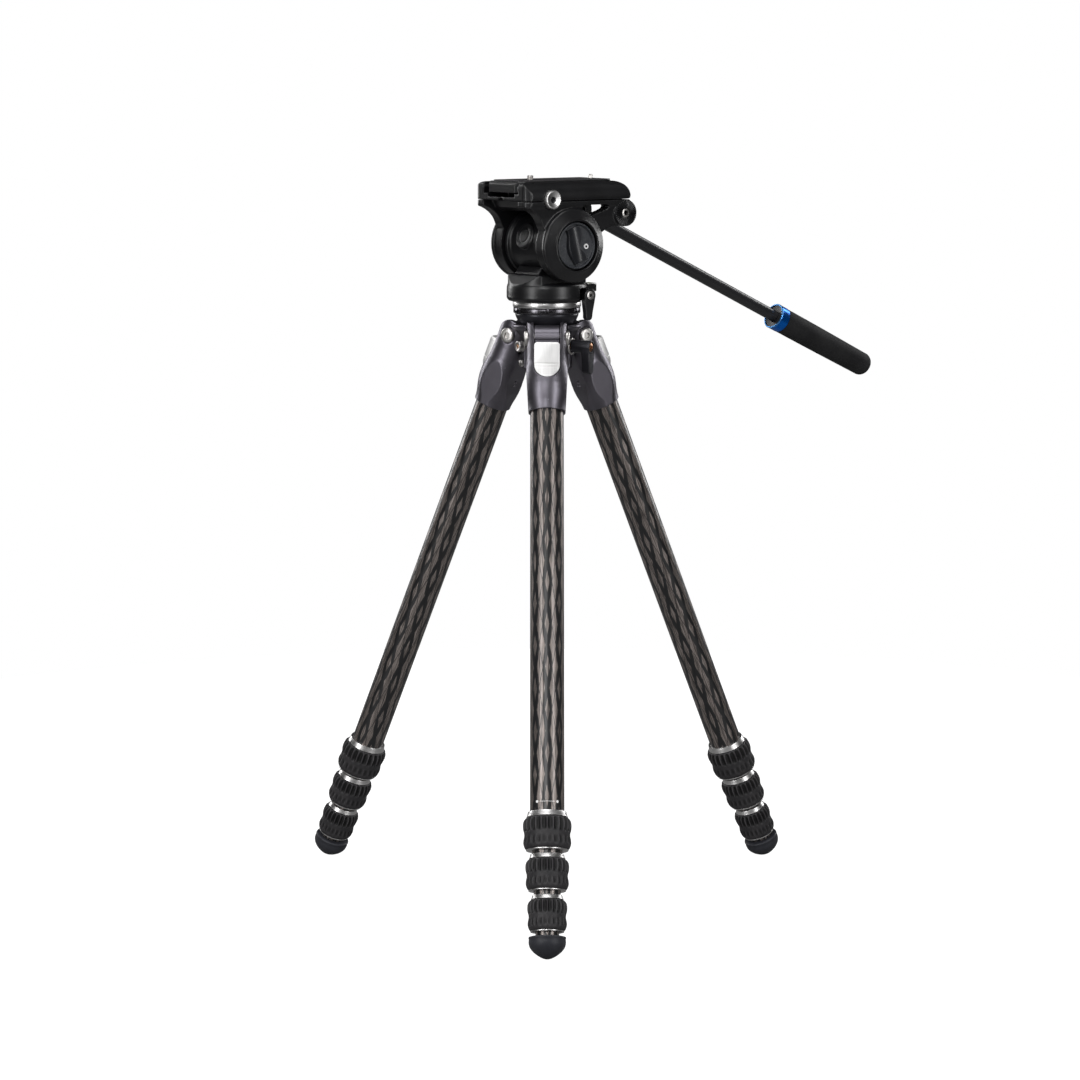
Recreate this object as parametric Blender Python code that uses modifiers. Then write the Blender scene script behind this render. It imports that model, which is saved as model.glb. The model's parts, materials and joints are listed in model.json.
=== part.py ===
"""Video tripod: three four-section legs, a levelling half-ball and a fluid pan-and-tilt head with a handle.

The sizes below are in millimetres and degrees, and the shape helpers turn them into metres.
Heights are above the floor. The tripod's own axis is upright, and its front leg points along -Y.
"""
import math

import bmesh
import bpy
from mathutils import Matrix, Vector

MM = 0.001
NAME = "video_tripod"

# The tripod's axis, measured from the middle of the whole object's outline on the floor
AXIS_X = -53.6
AXIS_Y = -25.5

# Stance: each leg hangs from a pin and leans outward
SPLAY = 22.8
PIN_OUT = 32.8
PIN_HEIGHT = 552.5
LEG_TURNS = {"front": 0, "right": 120, "left": 240}
GAP = 0.3

# Leg: distances along the leg below its hinge pin
FOOT_BALL = 17.6
LEG_LENGTH = (PIN_HEIGHT - FOOT_BALL) / math.cos(math.radians(SPLAY)) + FOOT_BALL
EAR_R = 15.0
EAR_HALF = 21.0
SLOT_HALF = 12.7
LUG_HALF = 12.1
PIN_R = 5.0
PIN_HEAD_R = 7.3
PIN_END = 23.6
CASTING_END = 73.0
TUBE_WALL = 1.4
TUBE_STEPS = 14
NUT_STEPS = 16
TUBE_RADII = (16.0, 14.0, 12.4, 10.9)
TUBE_TOPS = (48.0, 53.0, 58.0, 63.0)
LOCK_TOPS = (464.6, 504.7, 542.6)
LOCK_ENDS = (497.7, 535.2, 573.0)
LOCK_RADII = (22.6, 20.3, 18.5)
COLLAR_TOPS = (458.3, 499.6, 538.0)
FOOT_TOP = 577.2
FOOT_R = 17.4

# Angle-stop tab in the casting's outer face
TAB_HALF = 12.2
TAB_TOP = 7.0
TAB_END = 43.0
TAB_OUTER = 20.4
TAB_INNER = 12.6

# Spider and levelling ball
HUB_TOP = 564.0
HUB_BOTTOM = 521.0
HUB_R = 27.0
BALL_HEIGHT = 583.0
BALL_R = 32.5
SHOE_ANGLES = (57, 61, 65)
CLAMP_TURN = -30.0
CLAMP_HEIGHT = 543.0
PORT_TURN = -150.0

# Head: X runs back along the platform, -Y is the side with the drag knob
HEAD_TURN = 36.5
TILT_HEIGHT = 641.5
DECK_HEIGHT = 604.0
HOUSING_R = 38.5
DRUM_R = 28.0
FLANGE_R = 31.0
CHEEK_IN = 28.2
BOSS_RIM_R = 36.0
BOSS_RING_R = 26.0
BOSS_OUT = 50.0
KNOB_R = 22.3
KNOB_FLOOR = 43.5
PLATFORM_HALF = 43.0
FRONT_END = -55.5
SEAM = 43.0
PAN_LOCK = (25.5, 592.4)
HANDLE_PIVOT = (64.0, 29.5)
HANDLE_DROP = 24.8
ROSETTE_R = 13.0
ROSETTE_FACE = 40.0
ROSETTE_OUT = 43.4
PLATE_FRONT = -54.0
PIN_PLACE = 53.0
ROD_START = 38.6
ROD_SIDE = 52.5
ROD_RISE = 6.0
ROD_R = 6.1
GRIP_START = 296.0
GRIP_END = 441.0
GRIP_R = 13.2
BUTTON_PLACE = (-25.5, 44.5)


def clear_scene():
    for obj in list(bpy.data.objects):
        bpy.data.objects.remove(obj, do_unlink=True)


def make_material(name, colour, roughness, metallic=0.0):
    material = bpy.data.materials.new(name)
    material.use_nodes = True
    shader = material.node_tree.nodes["Principled BSDF"]
    shader.inputs["Base Color"].default_value = (*colour, 1.0)
    shader.inputs["Roughness"].default_value = roughness
    shader.inputs["Metallic"].default_value = metallic
    return material


clear_scene()
parts = bpy.data.collections.new(NAME)
bpy.context.scene.collection.children.link(parts)

FINISHES = {
    "gunmetal": make_material("gunmetal", (0.09, 0.085, 0.1), 0.35, 0.8),
    "carbon": make_material("carbon", (0.03, 0.028, 0.025), 0.3),
    "rubber": make_material("rubber", (0.045, 0.045, 0.047), 0.7),
    "silver": make_material("silver", (0.8, 0.79, 0.78), 0.25, 1.0),
    "black_metal": make_material("black_metal", (0.02, 0.02, 0.022), 0.45, 0.3),
    "black_plastic": make_material("black_plastic", (0.025, 0.025, 0.027), 0.5),
    "blue": make_material("blue", (0.0, 0.2, 0.7), 0.25, 1.0),
    "foam": make_material("foam", (0.02, 0.02, 0.021), 0.9),
    "spirit": make_material("spirit", (0.5, 0.7, 0.15), 0.1),
}


def arc(centre_x, centre_y, radius, start, end, steps):
    """Points along an arc, from the start angle to the end angle in degrees."""
    angles = [math.radians(start + (end - start) * i / steps) for i in range(steps + 1)]
    return [(centre_x + radius * math.cos(t), centre_y + radius * math.sin(t)) for t in angles]


def mirrored(points):
    """An outline's right half, given from bottom to top, closed with its mirror image."""
    return points + [(-x, y) for x, y in reversed(points)]


def solid(name, mesh):
    obj = bpy.data.objects.new(name, mesh)
    parts.objects.link(obj)
    return obj


def from_bmesh(name, bm):
    mesh = bpy.data.meshes.new(name)
    bm.to_mesh(mesh)
    bm.free()
    return solid(name, mesh)


def baked(obj, weld=0.0):
    """The object with its modifiers, or its curve, turned into a plain mesh."""
    bpy.context.view_layer.update()
    source = obj.evaluated_get(bpy.context.evaluated_depsgraph_get())
    mesh = bpy.data.meshes.new_from_object(source)
    name = obj.name
    bpy.data.objects.remove(obj, do_unlink=True)
    if weld:
        bm = bmesh.new()
        bm.from_mesh(mesh)
        bmesh.ops.remove_doubles(bm, verts=bm.verts, dist=weld)
        bmesh.ops.recalc_face_normals(bm, faces=bm.faces)
        bm.to_mesh(mesh)
        bm.free()
    return solid(name, mesh)


def turned(name, profile, steps=28, ring=False):
    """A shape turned about Z. The profile is (radius, height) pairs down its outer side."""
    bm = bmesh.new()
    verts = [bm.verts.new((r * MM, 0, z * MM)) for r, z in profile]
    for one, other in zip(verts, verts[1:]):
        bm.edges.new((one, other))
    if ring:
        bm.edges.new((verts[-1], verts[0]))
    obj = from_bmesh(name, bm)
    screw = obj.modifiers.new("Turn", "SCREW")
    screw.steps = steps
    screw.render_steps = steps
    screw.use_merge_vertices = True
    screw.merge_threshold = 0.00001
    screw.use_smooth_shade = False
    return baked(obj)


def block(name, low, high):
    """A box between two corners."""
    bm = bmesh.new()
    size = [(b - a) * MM for a, b in zip(low, high)]
    middle = [(a + b) / 2 * MM for a, b in zip(low, high)]
    place = Matrix.Translation(middle) @ Matrix.Diagonal((*size, 1))
    bmesh.ops.create_cube(bm, size=1, matrix=place)
    return from_bmesh(name, bm)


def cylinder(name, radius, low, high, steps=24):
    """A cylinder about Z between two heights."""
    bm = bmesh.new()
    place = Matrix.Translation((0, 0, (low + high) / 2 * MM))
    bmesh.ops.create_cone(
        bm, cap_ends=True, segments=steps, radius1=radius * MM, radius2=radius * MM,
        depth=(high - low) * MM, matrix=place,
    )
    return from_bmesh(name, bm)


def ball(name, radius, height, steps=32):
    bm = bmesh.new()
    place = Matrix.Translation((0, 0, height * MM))
    bmesh.ops.create_uvsphere(bm, u_segments=steps, v_segments=steps // 2, radius=radius * MM, matrix=place)
    return from_bmesh(name, bm)


def flat(name, outline, low, high, holes=()):
    """A flat outline in the XY plane, made solid between two heights."""
    curve = bpy.data.curves.new(name, "CURVE")
    curve.dimensions = "2D"
    curve.fill_mode = "BOTH"
    curve.extrude = (high - low) / 2 * MM
    for loop in (outline, *holes):
        spline = curve.splines.new("POLY")
        spline.points.add(len(loop) - 1)
        spline.use_cyclic_u = True
        for point, (x, y) in zip(spline.points, loop):
            point.co = (x * MM, y * MM, 0, 1)
    obj = baked(solid(name, curve), weld=0.000001)
    obj.data.transform(Matrix.Translation((0, 0, (low + high) / 2 * MM)))
    return obj


def moved(obj, place=(0, 0, 0), turn=(0, 0, 0)):
    """Turn a shape about X, then Y, then Z, and then shift it."""
    x, y, z = (math.radians(t) for t in turn)
    rotation = Matrix.Rotation(z, 4, "Z") @ Matrix.Rotation(y, 4, "Y") @ Matrix.Rotation(x, 4, "X")
    obj.data.transform(Matrix.Translation(Vector(place) * MM) @ rotation)
    return obj


def side_on(obj):
    """Turn a shape made flat in XY so that its outline stands in XZ and its thickness runs along Y."""
    return moved(obj, turn=(90, 0, 0))


def combined(obj, others, operation):
    """Join, cut or intersect a shape with others, which are used up."""
    for other in others:
        boolean = obj.modifiers.new("Combine", "BOOLEAN")
        boolean.operation = operation
        boolean.solver = "EXACT"
        boolean.object = other
        tool = other
        obj = baked(obj)
        bpy.data.objects.remove(tool, do_unlink=True)
    return obj


def joined(obj, *others):
    return combined(obj, others, "UNION")


def cut(obj, *others):
    return combined(obj, others, "DIFFERENCE")


def common(obj, *others):
    return combined(obj, others, "INTERSECT")


def rounded(obj, width, segments=2, angle=40):
    """The shape with its sharp edges rounded off."""
    bevel = obj.modifiers.new("Round", "BEVEL")
    bevel.width = width * MM
    bevel.segments = segments
    bevel.limit_method = "ANGLE"
    bevel.angle_limit = math.radians(angle)
    return baked(obj)


def frame(name, parent=None, place=(0, 0, 0), turn=(0, 0, 0)):
    empty = bpy.data.objects.new(name, None)
    empty.empty_display_size = 0.02
    parts.objects.link(empty)
    empty.parent = parent
    empty.location = Vector(place) * MM
    empty.rotation_euler = [math.radians(t) for t in turn]
    return empty


def placed(obj, name, finish, parent, origin=(0, 0, 0)):
    """Name a finished shape, give it its material, and hang it on its frame with its origin at a point."""
    obj.name = name
    obj.data.name = name
    obj.data.transform(Matrix.Translation(-Vector(origin) * MM))
    obj.location = Vector(origin) * MM
    obj.data.materials.clear()
    obj.data.materials.append(FINISHES[finish])
    obj.data.shade_smooth()
    obj.data.set_sharp_from_angle(angle=math.radians(35))
    obj.parent = parent
    return obj


def casting():
    """The top fitting of a leg, with two ears, a slot for the spider's lug and a pocket for the tab."""
    body = turned("casting", [
        (0, EAR_R + 2), (EAR_HALF, EAR_R + 2), (EAR_HALF, -18), (22.0, -32), (22.4, -45),
        (21.2, -58), (18.9, -68), (18.2, -CASTING_END), (0, -CASTING_END),
    ], 28)
    outline = [(18.4, -CASTING_END - 1), (17.6, -58), (16.2, -46), (EAR_R + 0.3, -6)]
    outline += arc(0, 0, EAR_R, 0, 180, 8)
    outline += [(-EAR_R - 0.5, -8), (-19.0, -24), (-21.3, -40), (-22.3, -58), (-23, -CASTING_END - 1)]
    side = moved(flat("side", outline, -30, 30), turn=(90, 0, 90))
    body = common(body, side)
    slot = block("slot", (-SLOT_HALF, -40, -EAR_R + 1), (SLOT_HALF, 40, 40))
    pocket_outline = arc(0, -TAB_END + TAB_HALF, TAB_HALF + GAP, 180, 360, 8)
    pocket_outline += [(TAB_HALF + GAP, 0), (-TAB_HALF - GAP, 0)]
    pocket = moved(flat("pocket", pocket_outline, TAB_INNER - GAP, 40), turn=(90, 0, 0))
    bore_r = TUBE_RADII[0] + GAP
    bore_top = -TUBE_TOPS[0] + GAP
    bore = turned("bore", [(0, bore_top), (bore_r, bore_top), (bore_r, -90), (0, -90)], TUBE_STEPS)
    pin_bore = moved(cylinder("pin_bore", PIN_R + GAP, -40, 40, 12), turn=(0, 90, 0))
    cutters = [slot, pocket, bore, pin_bore]
    for side_sign in (-1, 1):
        facet = block("facet", (0, -40, -30), (20, 40, 40))
        turn = (0, 4.2, 0) if side_sign > 0 else (0, 4.2, 180)
        cutters.append(moved(facet, (side_sign * 20.05, 0, -52), turn))
        spot = cylinder("spot", PIN_HEAD_R + 0.9, EAR_HALF - 0.9, 40, 16)
        cutters.append(moved(spot, turn=(0, 90 * side_sign, 0)))
    return cut(body, *cutters)


def hinge_pin():
    """A shouldered pin along X with a domed head at each end."""
    seat = EAR_HALF - 0.9 + GAP
    head = [(5.8, PIN_END), (PIN_HEAD_R, PIN_END - 1.1), (PIN_HEAD_R, seat), (PIN_R, seat)]
    profile = [(0, PIN_END)] + head + [(r, -z) for r, z in reversed(head)] + [(0, -PIN_END)]
    pin = turned("pin", profile, 14)
    hexagon = arc(0, 0, 2.6, 0, 300, 5)
    sockets = [flat("socket", hexagon, low, low + 6) for low in (PIN_END - 2, -PIN_END - 4)]
    return moved(cut(pin, *sockets), turn=(0, 90, 0))


def angle_tab():
    """A sprung stop with a square top and a round lower end, grooved for the thumb."""
    radius = 2.5
    outline = arc(0, -TAB_END + TAB_HALF, TAB_HALF, 180, 360, 8)
    outline += arc(TAB_HALF - radius, -TAB_TOP - radius, radius, 0, 90, 2)
    outline += arc(-TAB_HALF + radius, -TAB_TOP - radius, radius, 90, 180, 2)
    tab = moved(flat("tab", outline, TAB_INNER, TAB_OUTER), turn=(90, 0, 0))
    groove = block("groove", (-20, -TAB_OUTER - 1, -29.6), (20, -TAB_OUTER + 0.7, -28.4))
    return cut(rounded(tab, 0.6, 1, 60), groove)


def leg_tube(section):
    """One carbon tube, with the collar of the twist lock that it carries."""
    radius = TUBE_RADII[section]
    inner = radius - TUBE_WALL + (0.3 if section else 0)
    top = -TUBE_TOPS[section]
    if section == 3:
        end = -FOOT_TOP - 9.0
        profile = [(radius, top), (radius, end), (inner, end), (inner, top)]
        return turned("tube", profile, TUBE_STEPS, ring=True)
    collar = -COLLAR_TOPS[section]
    lock = -LOCK_TOPS[section] + GAP
    nut = LOCK_RADII[section]
    end = lock - 21.0
    profile = [
        (radius, top), (radius, collar), (nut - 4.6, collar), (nut - 3.4, lock + 0.5),
        (nut - 3.4, lock), (radius, lock), (radius, end), (inner, end), (inner, top),
    ]
    return turned("tube", profile, TUBE_STEPS, ring=True)


def twist_lock(section):
    """The rubber-covered nut that clamps the next tube, with a stepped bore."""
    top = -LOCK_TOPS[section]
    end = -LOCK_ENDS[section]
    length = top - end
    radius = LOCK_RADII[section]
    corner = 1 / math.cos(math.pi / NUT_STEPS)
    wide = (TUBE_RADII[section] + GAP) * corner
    narrow = (TUBE_RADII[section + 1] + GAP) * corner
    step = top - 21.0
    outside = [(-3.2, 0.0), (-0.4, 0.12), (0.0, 0.3), (-1.1, 0.6), (-0.3, 0.86), (-2.6, 1.0)]
    profile = [(radius + inset, top - share * length) for inset, share in outside]
    profile += [(narrow, end), (narrow, step), (wide, step), (wide, top)]
    return turned("nut", profile, NUT_STEPS, ring=True)


def foot():
    """A rubber foot: a short skirt over a round bottom, with a socket for the last tube."""
    centre = -LEG_LENGTH + FOOT_BALL
    dome = [(FOOT_BALL * math.cos(math.radians(t)), centre - FOOT_BALL * math.sin(math.radians(t)))
            for t in (10, 30, 50, 70, 82)]
    socket = TUBE_RADII[3] + GAP
    profile = [(0, -FOOT_TOP - 9.6), (socket, -FOOT_TOP - 9.6), (socket, -FOOT_TOP)]
    profile += [(FOOT_R - 1.6, -FOOT_TOP), (FOOT_R, -FOOT_TOP - 1.4)] + dome + [(0, -LEG_LENGTH)]
    return turned("foot", profile, 18)


def build_leg(side, turn, root):
    leg_frame = frame(f"{side}_leg_hinge", frame(f"{side}_leg_turn", root, turn=(0, 0, turn)),
                      (0, -PIN_OUT, PIN_HEIGHT), (-SPLAY, 0, 0))
    placed(casting(), f"{side}_leg_casting", "gunmetal", leg_frame)
    placed(hinge_pin(), f"{side}_leg_pin", "silver", leg_frame)
    placed(angle_tab(), f"{side}_angle_tab", "silver", leg_frame)
    for section in range(4):
        placed(leg_tube(section), f"{side}_tube_{section + 1}", "carbon", leg_frame)
    for section in range(3):
        placed(twist_lock(section), f"{side}_lock_{section + 1}", "rubber", leg_frame)
    placed(foot(), f"{side}_foot", "rubber", leg_frame)


def spider():
    """The hub that the legs hang from, with a round seat for the levelling ball."""
    hub = turned("hub", [
        (0, HUB_TOP), (33.0, HUB_TOP), (34.0, HUB_TOP - 1.2), (34.0, HUB_TOP - 3.2), (30.5, HUB_TOP - 7),
        (27.5, HUB_TOP - 11), (HUB_R, HUB_TOP - 13), (HUB_R, HUB_BOTTOM + 1.5), (HUB_R - 1.5, HUB_BOTTOM),
        (0, HUB_BOTTOM),
    ], 36)
    clearances = []
    lugs = []
    for turn in LEG_TURNS.values():
        around = (0, 0, turn)
        ear = moved(cylinder("ear", EAR_R + 0.9, -EAR_HALF - 0.7, EAR_HALF + 0.7, 18),
                    (0, -PIN_OUT, PIN_HEIGHT),
                    (0, 90, 0))
        below = block("below", (-23.2, -60, HUB_BOTTOM - 5), (23.2, -16.0, PIN_HEIGHT - 5))
        clearances += [moved(ear, turn=around), moved(below, turn=around)]
        outline = arc(-PIN_OUT, PIN_HEIGHT, 13.0, 100, 290, 8)
        outline += [(-17, PIN_HEIGHT - 13), (-12, PIN_HEIGHT - 20), (-12, HUB_TOP - 4), (-26, HUB_TOP - 1)]
        lug = moved(flat("lug", outline, -LUG_HALF, LUG_HALF), turn=(90, 0, 90))
        for height in (HUB_TOP - 6.0, HUB_TOP - 13.5):
            notch = block("notch", (-20, -60, height - 1.1), (20, -PIN_OUT - 11.0, height + 1.1))
            lug = cut(lug, notch)
        bore = moved(cylinder("bore", PIN_R + GAP, -30, 30, 12), (0, -PIN_OUT, PIN_HEIGHT), (0, 90, 0))
        lugs.append(moved(cut(lug, bore), turn=around))
    hub = cut(hub, *clearances)
    hub = joined(hub, *lugs)
    seat = ball("seat", BALL_R + 1.7, BALL_HEIGHT, 28)
    well = cylinder("well", 14.2, HUB_BOTTOM - 5, HUB_TOP)
    bolt_hole = radial(cylinder("bolt_hole", 3.2, 8, 40, 14), CLAMP_TURN, CLAMP_HEIGHT)
    port_hole = radial(cylinder("port_hole", 4.3, 8, 40, 14), PORT_TURN, CLAMP_HEIGHT)
    return cut(hub, seat, well, bolt_hole, port_hole)


def radial(obj, turn, height):
    """Lay a shape made about Z along a level direction that points away from the tripod's axis."""
    return moved(moved(obj, turn=(0, 90, 0)), (0, 0, height), (0, 0, turn))


def build_spider(root):
    placed(spider(), "spider", "gunmetal", root)
    bolt = turned("bolt", [
        (0, 49.4), (4.4, 49.4), (4.4, 47.6), (2.9, 47.6), (2.9, 28.4), (7.6, 28.4), (7.6, 27.3),
        (2.9, 27.3), (2.9, 16), (0, 16),
    ], 18)
    placed(radial(bolt, CLAMP_TURN, CLAMP_HEIGHT), "clamp_bolt", "silver", root)
    hub = turned("lever", [
        (3.2, 47.2), (4.8, 47.2), (4.8, 50.0), (5.8, 50.0), (6.4, 49.2), (6.4, 29.8), (5.8, 28.8),
        (3.2, 28.8),
    ], 20, ring=True)
    outline = arc(0, 0, 6.2, -90, 90, 8) + [(-12, 5.2), (-23.6, 4.6), (-24.6, 3.4), (-24.6, -3.4),
                                            (-23.6, -4.6), (-12, -5.2)]
    arm = flat("arm", [(-x, -y) for x, y in outline], 41.6, 49.6)
    lever = radial(joined(hub, cut(arm, cylinder("hole", 5.5, 30, 60, 16))), CLAMP_TURN, CLAMP_HEIGHT)
    turn = math.radians(CLAMP_TURN)
    pivot = (40 * math.cos(turn), 40 * math.sin(turn), CLAMP_HEIGHT)
    placed(lever, "clamp_lever", "gunmetal", root, pivot)
    port = turned("port", [(0, 33.4), (4.6, 33.4), (5.2, 32.8), (5.2, 27.4), (4.0, 27.4), (4.0, 17), (0, 17)],
                  18)
    socket = cylinder("socket", 2.6, 24, 40, 12)
    placed(radial(cut(port, socket), PORT_TURN, CLAMP_HEIGHT), "accessory_port", "silver", root)


def build_level(level_frame):
    """The half-ball, its shoe, the silver disc above it and the pan axle through all of them."""
    inner = BALL_R + 0.3
    outer = BALL_R + 1.4
    shoe = [(outer * math.cos(math.radians(t)), -outer * math.sin(math.radians(t))) for t in SHOE_ANGLES]
    shoe += [(inner * math.cos(math.radians(t)),
              -inner * math.sin(math.radians(t))) for t in SHOE_ANGLES[::-1]]
    placed(turned("shoe", shoe, 28, ring=True), "clamp_shoe", "black_plastic", level_frame)
    curve = [(BALL_R * math.cos(math.radians(t)), -BALL_R * math.sin(math.radians(t)))
             for t in range(22, 68, 9)]
    bowl = [(5.4, -2.8), (31.4, -2.8), (32.6, -3.2), (32.6, -8.2), (31.0, -8.6)] + curve
    bowl += [(11.5, -30.0), (5.4, -30.0)]
    bowl = turned("bowl", bowl, 30, ring=True)
    notches = [moved(block("notch", (31.6, -1.6, -9), (36, 1.6, -2)),
                     turn=(0, 0, 30 + 60 * i)) for i in range(6)]
    placed(cut(bowl, *notches), "level_ball", "gunmetal", level_frame)
    disc = [(5.4, 3.4), (32.4, 3.4), (33.2, 2.6), (33.2, -1.7), (32.4, -2.5), (5.4, -2.5)]
    placed(turned("disc", disc, 36, ring=True), "level_disc", "silver", level_frame)
    axle = [(0, 16.5), (5.0, 16.5), (5.0, -30.4), (6.4, -30.4), (6.4, -35.5), (5.4, -36.5), (0, -36.5)]
    placed(turned("axle", axle, 16), "pan_axle", "silver", level_frame)


def pan_housing():
    """The round pan base with a pedestal for the drum and a cut-away for the pan lock."""
    low = BALL_HEIGHT + 3.8
    base = turned("base", [
        (0, DECK_HEIGHT), (36.5, DECK_HEIGHT), (HOUSING_R, DECK_HEIGHT - 1.6), (39.2, DECK_HEIGHT - 8),
        (39.2, low + 3), (37.2, low), (0, low),
    ], 40)
    outline = [(-38.4, DECK_HEIGHT - 5), (38, DECK_HEIGHT - 5), (36, DECK_HEIGHT - 0.6), (27, 617),
               (26.5, 632),
               (-26.5, 632), (-29, 620), (-38.4, DECK_HEIGHT - 0.8)]
    pedestal = side_on(flat("pedestal", outline, -19, 19))
    trim = cylinder("trim", HOUSING_R - 2.6, 560, 660, 36)
    base = joined(base, common(pedestal, trim))
    arm_end = arc(46, 0, 8, -90, 90, 6)
    arm = flat("arm", arm_end + [(20, 8), (20, -8)], 594, 601.5)
    base = joined(base, moved(arm, (0, -6, 0)))
    drum_seat = moved(cylinder("drum_seat", DRUM_R + GAP, -24, 24, 32), (0, 0, TILT_HEIGHT), (90, 0, 0))
    axle_hole = cylinder("axle_hole", 5.4, low - 2, low + 13.2, 16)
    lock_room = block("lock_room", (12.5, -60, low - 2), (60, -12.6, 599.4))
    level_hole = moved(cylinder("level_hole", 5.6, 597, 610, 20), (46, -6, 0))
    lock_hole = moved(cylinder("lock_hole", 3.2, -20, 0, 16), (PAN_LOCK[0], 0, PAN_LOCK[1]), (-90, 0, 0))
    return cut(base, drum_seat, axle_hole, lock_room, level_hole, moved(lock_hole, (0, 2, 0)))


def tilt_drum():
    """The fluid cartridge between the cheeks, with journals that carry the cradle."""
    half = [(0, 42.8), (9.6, 42.8), (9.6, 27.6), (FLANGE_R - 1.2, 27.6), (FLANGE_R, 26.6), (FLANGE_R, 23.4),
            (DRUM_R, 21.0)]
    drum = turned("drum", half + [(r, -z) for r, z in reversed(half)], 32)
    drum = moved(drum, turn=(90, 0, 0))
    cover = turned("cover", [(0, 30.0), (10.5, 30.0), (13.0, 28.6), (13.0, 20), (0, 20)], 20)
    return joined(drum, moved(cover, turn=(0, -72, 0)))


def build_pan(pan_frame):
    placed(pan_housing(), "pan_housing", "black_metal", pan_frame, (0, 0, BALL_HEIGHT))
    placed(moved(tilt_drum(), (0, 0, TILT_HEIGHT)), "tilt_drum", "black_metal", pan_frame,
           (0, 0, TILT_HEIGHT))
    vial = turned("vial", [(0, 602.6), (4.4, 602.4), (5.3, 601.8), (5.3, 597.4), (0, 597.4)], 20)
    placed(moved(vial, (46, -6, 0)), "bubble_level", "spirit", pan_frame, (46, -6, 598))
    t, height = PAN_LOCK
    hub = turned("hub", [(0, 37.0), (4.4, 37.0), (4.4, 36.4), (6.0, 36.4), (6.8, 35.6), (6.8, 30.4),
                         (5.5, 29.6), (5.5, 13.4), (2.9, 13.4), (2.9, 2.4), (0, 2.4)], 20)
    arm_outline = arc(0, 0, 6.7, 0, 180, 8) + [(-6.2, -9)] + arc(-1, -21, 3.6, 190, 350, 5) + [(5.0, -9)]
    arm = flat("arm", arm_outline, 30.4, 36.0)
    lever = moved(joined(hub, arm), turn=(90, 0, 0))
    placed(moved(lever, (t, 0, height)), "pan_lock_lever", "black_plastic", pan_frame, (t, -20, height))


def cheek_outline():
    """The cradle's side view about the tilt axis: round below, with an arm back to the rosette."""
    x, z = HANDLE_PIVOT
    outline = [(FRONT_END, SEAM - 0.3), (FRONT_END, 37.5), (-49.5, 35.5), (-42, 31), (-37, 25.5), (-34, 19)]
    outline += arc(0, 0, 34.5, 155, 372, 18)
    outline += [(37.5, 11.5), (44, 15), (52, 17.0)] + arc(x, z, ROSETTE_R - 0.2, -95, 60, 9)
    return outline + [(x + 4, SEAM - 0.3)]


def window_outline():
    """The long opening under the platform, narrowing forwards above the drum's boss."""
    return [(11.5, 33.0), (12.0, 36.5), (14.5, 38.4), (40.5, 38.4), (43.5, 37.4), (44.0, 35.6), (40.5, 33.4),
            (32.0, 30.6), (25.0, 28.6), (20.0, 27.5)]


def cradle():
    """The tilting yoke: two cheeks, the bridge that carries the platform, and a rosette each side."""
    cheeks = side_on(flat("cheeks", cheek_outline(), -PLATFORM_HALF, PLATFORM_HALF, [window_outline()]))
    section = mirrored([(38.2, -40), (39.2, 20), (40.2, 32), (42.4, 38), (PLATFORM_HALF, SEAM)])
    cheeks = common(cheeks, moved(flat("section", section, -70, 90), turn=(90, 0, 90)))
    opening = [(-90, -60), (90, -60), (90, 38.8), (20, 38.8), (13, 32.6), (-33, 32.6), (-41, 36), (-46, 44),
               (-90, 44)]
    body = cut(cheeks, side_on(flat("opening", opening, -CHEEK_IN, CHEEK_IN)))
    boss = [(0, BOSS_OUT), (BOSS_RING_R, BOSS_OUT), (BOSS_RIM_R - 0.6, 44.4), (BOSS_RIM_R, 43.0),
            (BOSS_RIM_R, 41.0),
            (33.5, 37.6), (33.5, 30), (0, 30)]
    bosses = [moved(turned("boss", boss, 32), turn=(turn, 0, 0)) for turn in (90, -90)]
    body = joined(body, *bosses)
    x, z = HANDLE_PIVOT
    room = [cylinder("room", KNOB_R + 0.4, KNOB_FLOOR - 0.4, 60, 32), cylinder("room", 10.0, 20, 60, 16)]
    near = [moved(tool, turn=(90, 0, 0)) for tool in room]
    far_room = [cylinder("room", 14.4, KNOB_FLOOR - 0.4, 60, 24), cylinder("room", 10.0, 20, 60, 16)]
    far = [moved(tool, turn=(-90, 0, 0)) for tool in far_room]
    body = cut(body, *near, *far)
    screw_hole = moved(cylinder("hole", 4.2, -60, 60, 14), (x, 0, z), (90, 0, 0))
    bx, bz = BUTTON_PLACE
    button_hole = moved(cylinder("hole", 9.4, 33.0, 60, 24), (bx, 0, bz), (90, 0, 0))
    spot_face = moved(cylinder("face", ROSETTE_R + 0.5, ROSETTE_FACE, 60, 28), (x, 0, z), (-90, 0, 0))
    disc = turned("disc", [(0, ROSETTE_OUT), (ROSETTE_R - 0.4, ROSETTE_OUT), (ROSETTE_R, ROSETTE_OUT - 0.4),
                           (ROSETTE_R, 36.0), (0, 36.0)], 28)
    body = joined(cut(body, spot_face), moved(disc, (x, 0, z), (90, 0, 0)))
    return cut(body, screw_hole, button_hole)


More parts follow.
